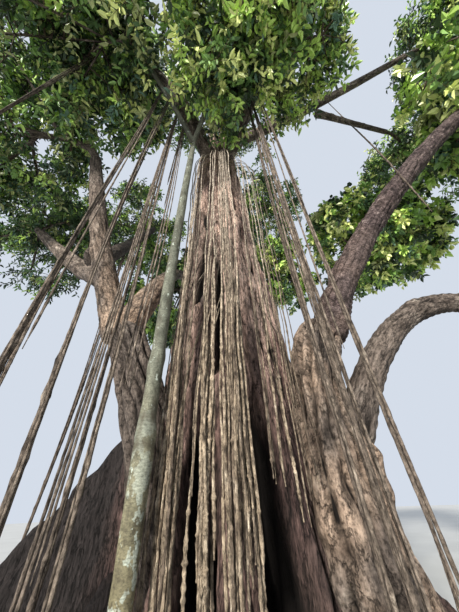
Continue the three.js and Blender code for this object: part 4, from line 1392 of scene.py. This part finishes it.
def mottled_material(name, scale, darkest, lightest, roughness):
    """Two tones that run into each other, placed by Object coordinates."""
    material, nodes, links = new_material(name)
    place = nodes.new("ShaderNodeTexCoord").outputs["Object"]
    mottle = noise_node(nodes, links, place, scale, 3, 0.5)
    shader = nodes["Principled BSDF"]
    links.new(ramp_node(nodes, links, mottle, [darkest, lightest]), shader.inputs["Base Color"])
    shader.inputs["Roughness"].default_value = roughness
    return material


def leaf_material(name, colour):
    material, nodes, _ = new_material(name)
    shader = nodes["Principled BSDF"]
    shader.inputs["Base Color"].default_value = (*colour, 1)
    shader.inputs["Roughness"].default_value = 0.36
    shader.inputs["Specular IOR Level"].default_value = 0.5
    return material


# Floor, light and camera

def make_floor():
    bm = bmesh.new()
    bmesh.ops.create_circle(bm, cap_ends=True, cap_tris=True, segments=96, radius=FLOOR_RADIUS)
    mesh = bpy.data.meshes.new("floor")
    bm.to_mesh(mesh)
    bm.free()
    floor = bpy.data.objects.new("floor", mesh)
    bpy.context.collection.objects.link(floor)
    dark, light = (0.3, (0.50, 0.50, 0.48)), (0.7, (0.56, 0.56, 0.54))
    mesh.materials.append(mottled_material("pale_floor", 0.5, dark, light, 0.9))


def make_light():
    world = bpy.data.worlds.new("pale_sky")
    world.use_nodes = True
    background = world.node_tree.nodes["Background"]
    background.inputs["Color"].default_value = (*SKY_COLOUR, 1)
    background.inputs["Strength"].default_value = SKY_STRENGTH
    bpy.context.scene.world = world
    sun_data = bpy.data.lights.new("soft_sun", "SUN")
    sun_data.energy = SUN_STRENGTH
    sun_data.angle = SUN_WIDTH
    sun_data.color = SUN_COLOUR
    sun = bpy.data.objects.new("soft_sun", sun_data)
    sun.rotation_euler = Vector(SUN_DIRECTION).to_track_quat("-Z", "Y").to_euler()
    bpy.context.collection.objects.link(sun)
    bpy.context.scene.view_settings.view_transform = "Standard"


def make_camera():
    """The camera stands at the tree's foot and looks up, rolled a little. Its pitch and roll come from the
    point where plumb lines meet."""
    right_px = PLUMB_POINT[0] - PHOTO_MIDDLE[0]
    up_px = PHOTO_MIDDLE[1] - PLUMB_POINT[1]
    away = math.sqrt(right_px**2 + up_px**2 + FOCAL_LENGTH**2)
    sin_pitch = FOCAL_LENGTH / away
    cos_pitch = math.sqrt(1 - sin_pitch**2)
    sin_roll = right_px / away / cos_pitch
    cos_roll = math.sqrt(1 - sin_roll**2)
    forward = Vector((0, cos_pitch, sin_pitch))
    level_right = Vector((1, 0, 0))
    level_up = Vector((0, -sin_pitch, cos_pitch))
    right = level_right * cos_roll + level_up * sin_roll
    up = level_up * cos_roll - level_right * sin_roll
    data = bpy.data.cameras.new("camera")
    data.lens = FOCAL_LENGTH * SENSOR_WIDTH_MM / PHOTO_HEIGHT
    data.clip_end = 400
    camera = bpy.data.objects.new("camera", data)
    turned = Matrix((right, up, -forward)).transposed().to_4x4()
    camera.matrix_world = Matrix.Translation(CAMERA_PLACE) @ turned
    bpy.context.collection.objects.link(camera)
    bpy.context.scene.camera = camera


# The tree

trunk_bark = bark_material(
    "trunk_bark",
    [(0.022, 0.013, 0.012), (0.080, 0.045, 0.040), (0.19, 0.112, 0.098), (0.46, 0.31, 0.26)],
    (0.140, 0.090, 0.074),
    (1, 1, 0.16),
    1.0,
    scale=14,
    cracks=0.85,
    pale=((0.30, 0.180, 0.140), (0.95, 0.74, 0.62)),
    darker=((0.006, 0.005, 0.005), (0.036, 0.029, 0.028)),
)
bough_bark = bark_material(
    "bough_bark",
    [(0.030, 0.024, 0.020), (0.090, 0.072, 0.060), (0.19, 0.155, 0.130), (0.38, 0.33, 0.28)],
    (0.16, 0.130, 0.11),
    (1, 1, 0.4),
    0.9,
    cracks=0.7,
    pale=((0.15, 0.088, 0.060), (0.80, 0.60, 0.44)),
    darker=((0.010, 0.008, 0.007), (0.10, 0.082, 0.072)),
)
ringed_bark = bark_material(
    "ringed_bark",
    [(0.016, 0.011, 0.012), (0.052, 0.037, 0.037), (0.12, 0.088, 0.085), (0.27, 0.215, 0.200)],
    (0.12, 0.090, 0.085),
    (1, 1, 1.0),
    1.0,
    cracks=0.6,
    pale=((0.16, 0.10, 0.075), (0.52, 0.38, 0.29)),
)
root_bark = bark_material(
    "root_bark",
    [(0.075, 0.056, 0.041), (0.24, 0.187, 0.132), (0.41, 0.335, 0.245), (0.66, 0.57, 0.45)],
    (0.30, 0.240, 0.170),
    (1, 1, 0.5),
    0.8,
    cracks=0.4,
    pale=((0.26, 0.205, 0.155), (0.86, 0.77, 0.64)),
    darker=((0.022, 0.016, 0.012), (0.15, 0.113, 0.086)),
)
hanging_bark = bark_material(
    "hanging_root_bark",
    [(0.050, 0.038, 0.030), (0.12, 0.097, 0.076), (0.24, 0.195, 0.155), (0.42, 0.36, 0.29)],
    (0.20, 0.16, 0.13),
    (1, 1, 0.5),
    0.8,
    cracks=0.3,
    darker=((0.028, 0.022, 0.018), (0.14, 0.110, 0.088)),
)
pillar_bark = pillar_material("pillar_bark")

make_camera()
make_light()
make_floor()
make_trunk(trunk_bark)
make_limbs(bough_bark, ringed_bark, pillar_bark)
make_hanging_roots(hanging_bark)
make_curtains(root_bark)
dark_twig, light_twig = (0.35, (0.05, 0.035, 0.022)), (0.65, (0.13, 0.10, 0.06))
twig_bark = mottled_material("twig_bark", 3.0, dark_twig, light_twig, 0.8)
leaf_materials = {tint: leaf_material("leaf_" + tint, colour) for tint, colour in LEAF_TINTS.items()}
make_foliage(bough_bark, twig_bark, leaf_materials)
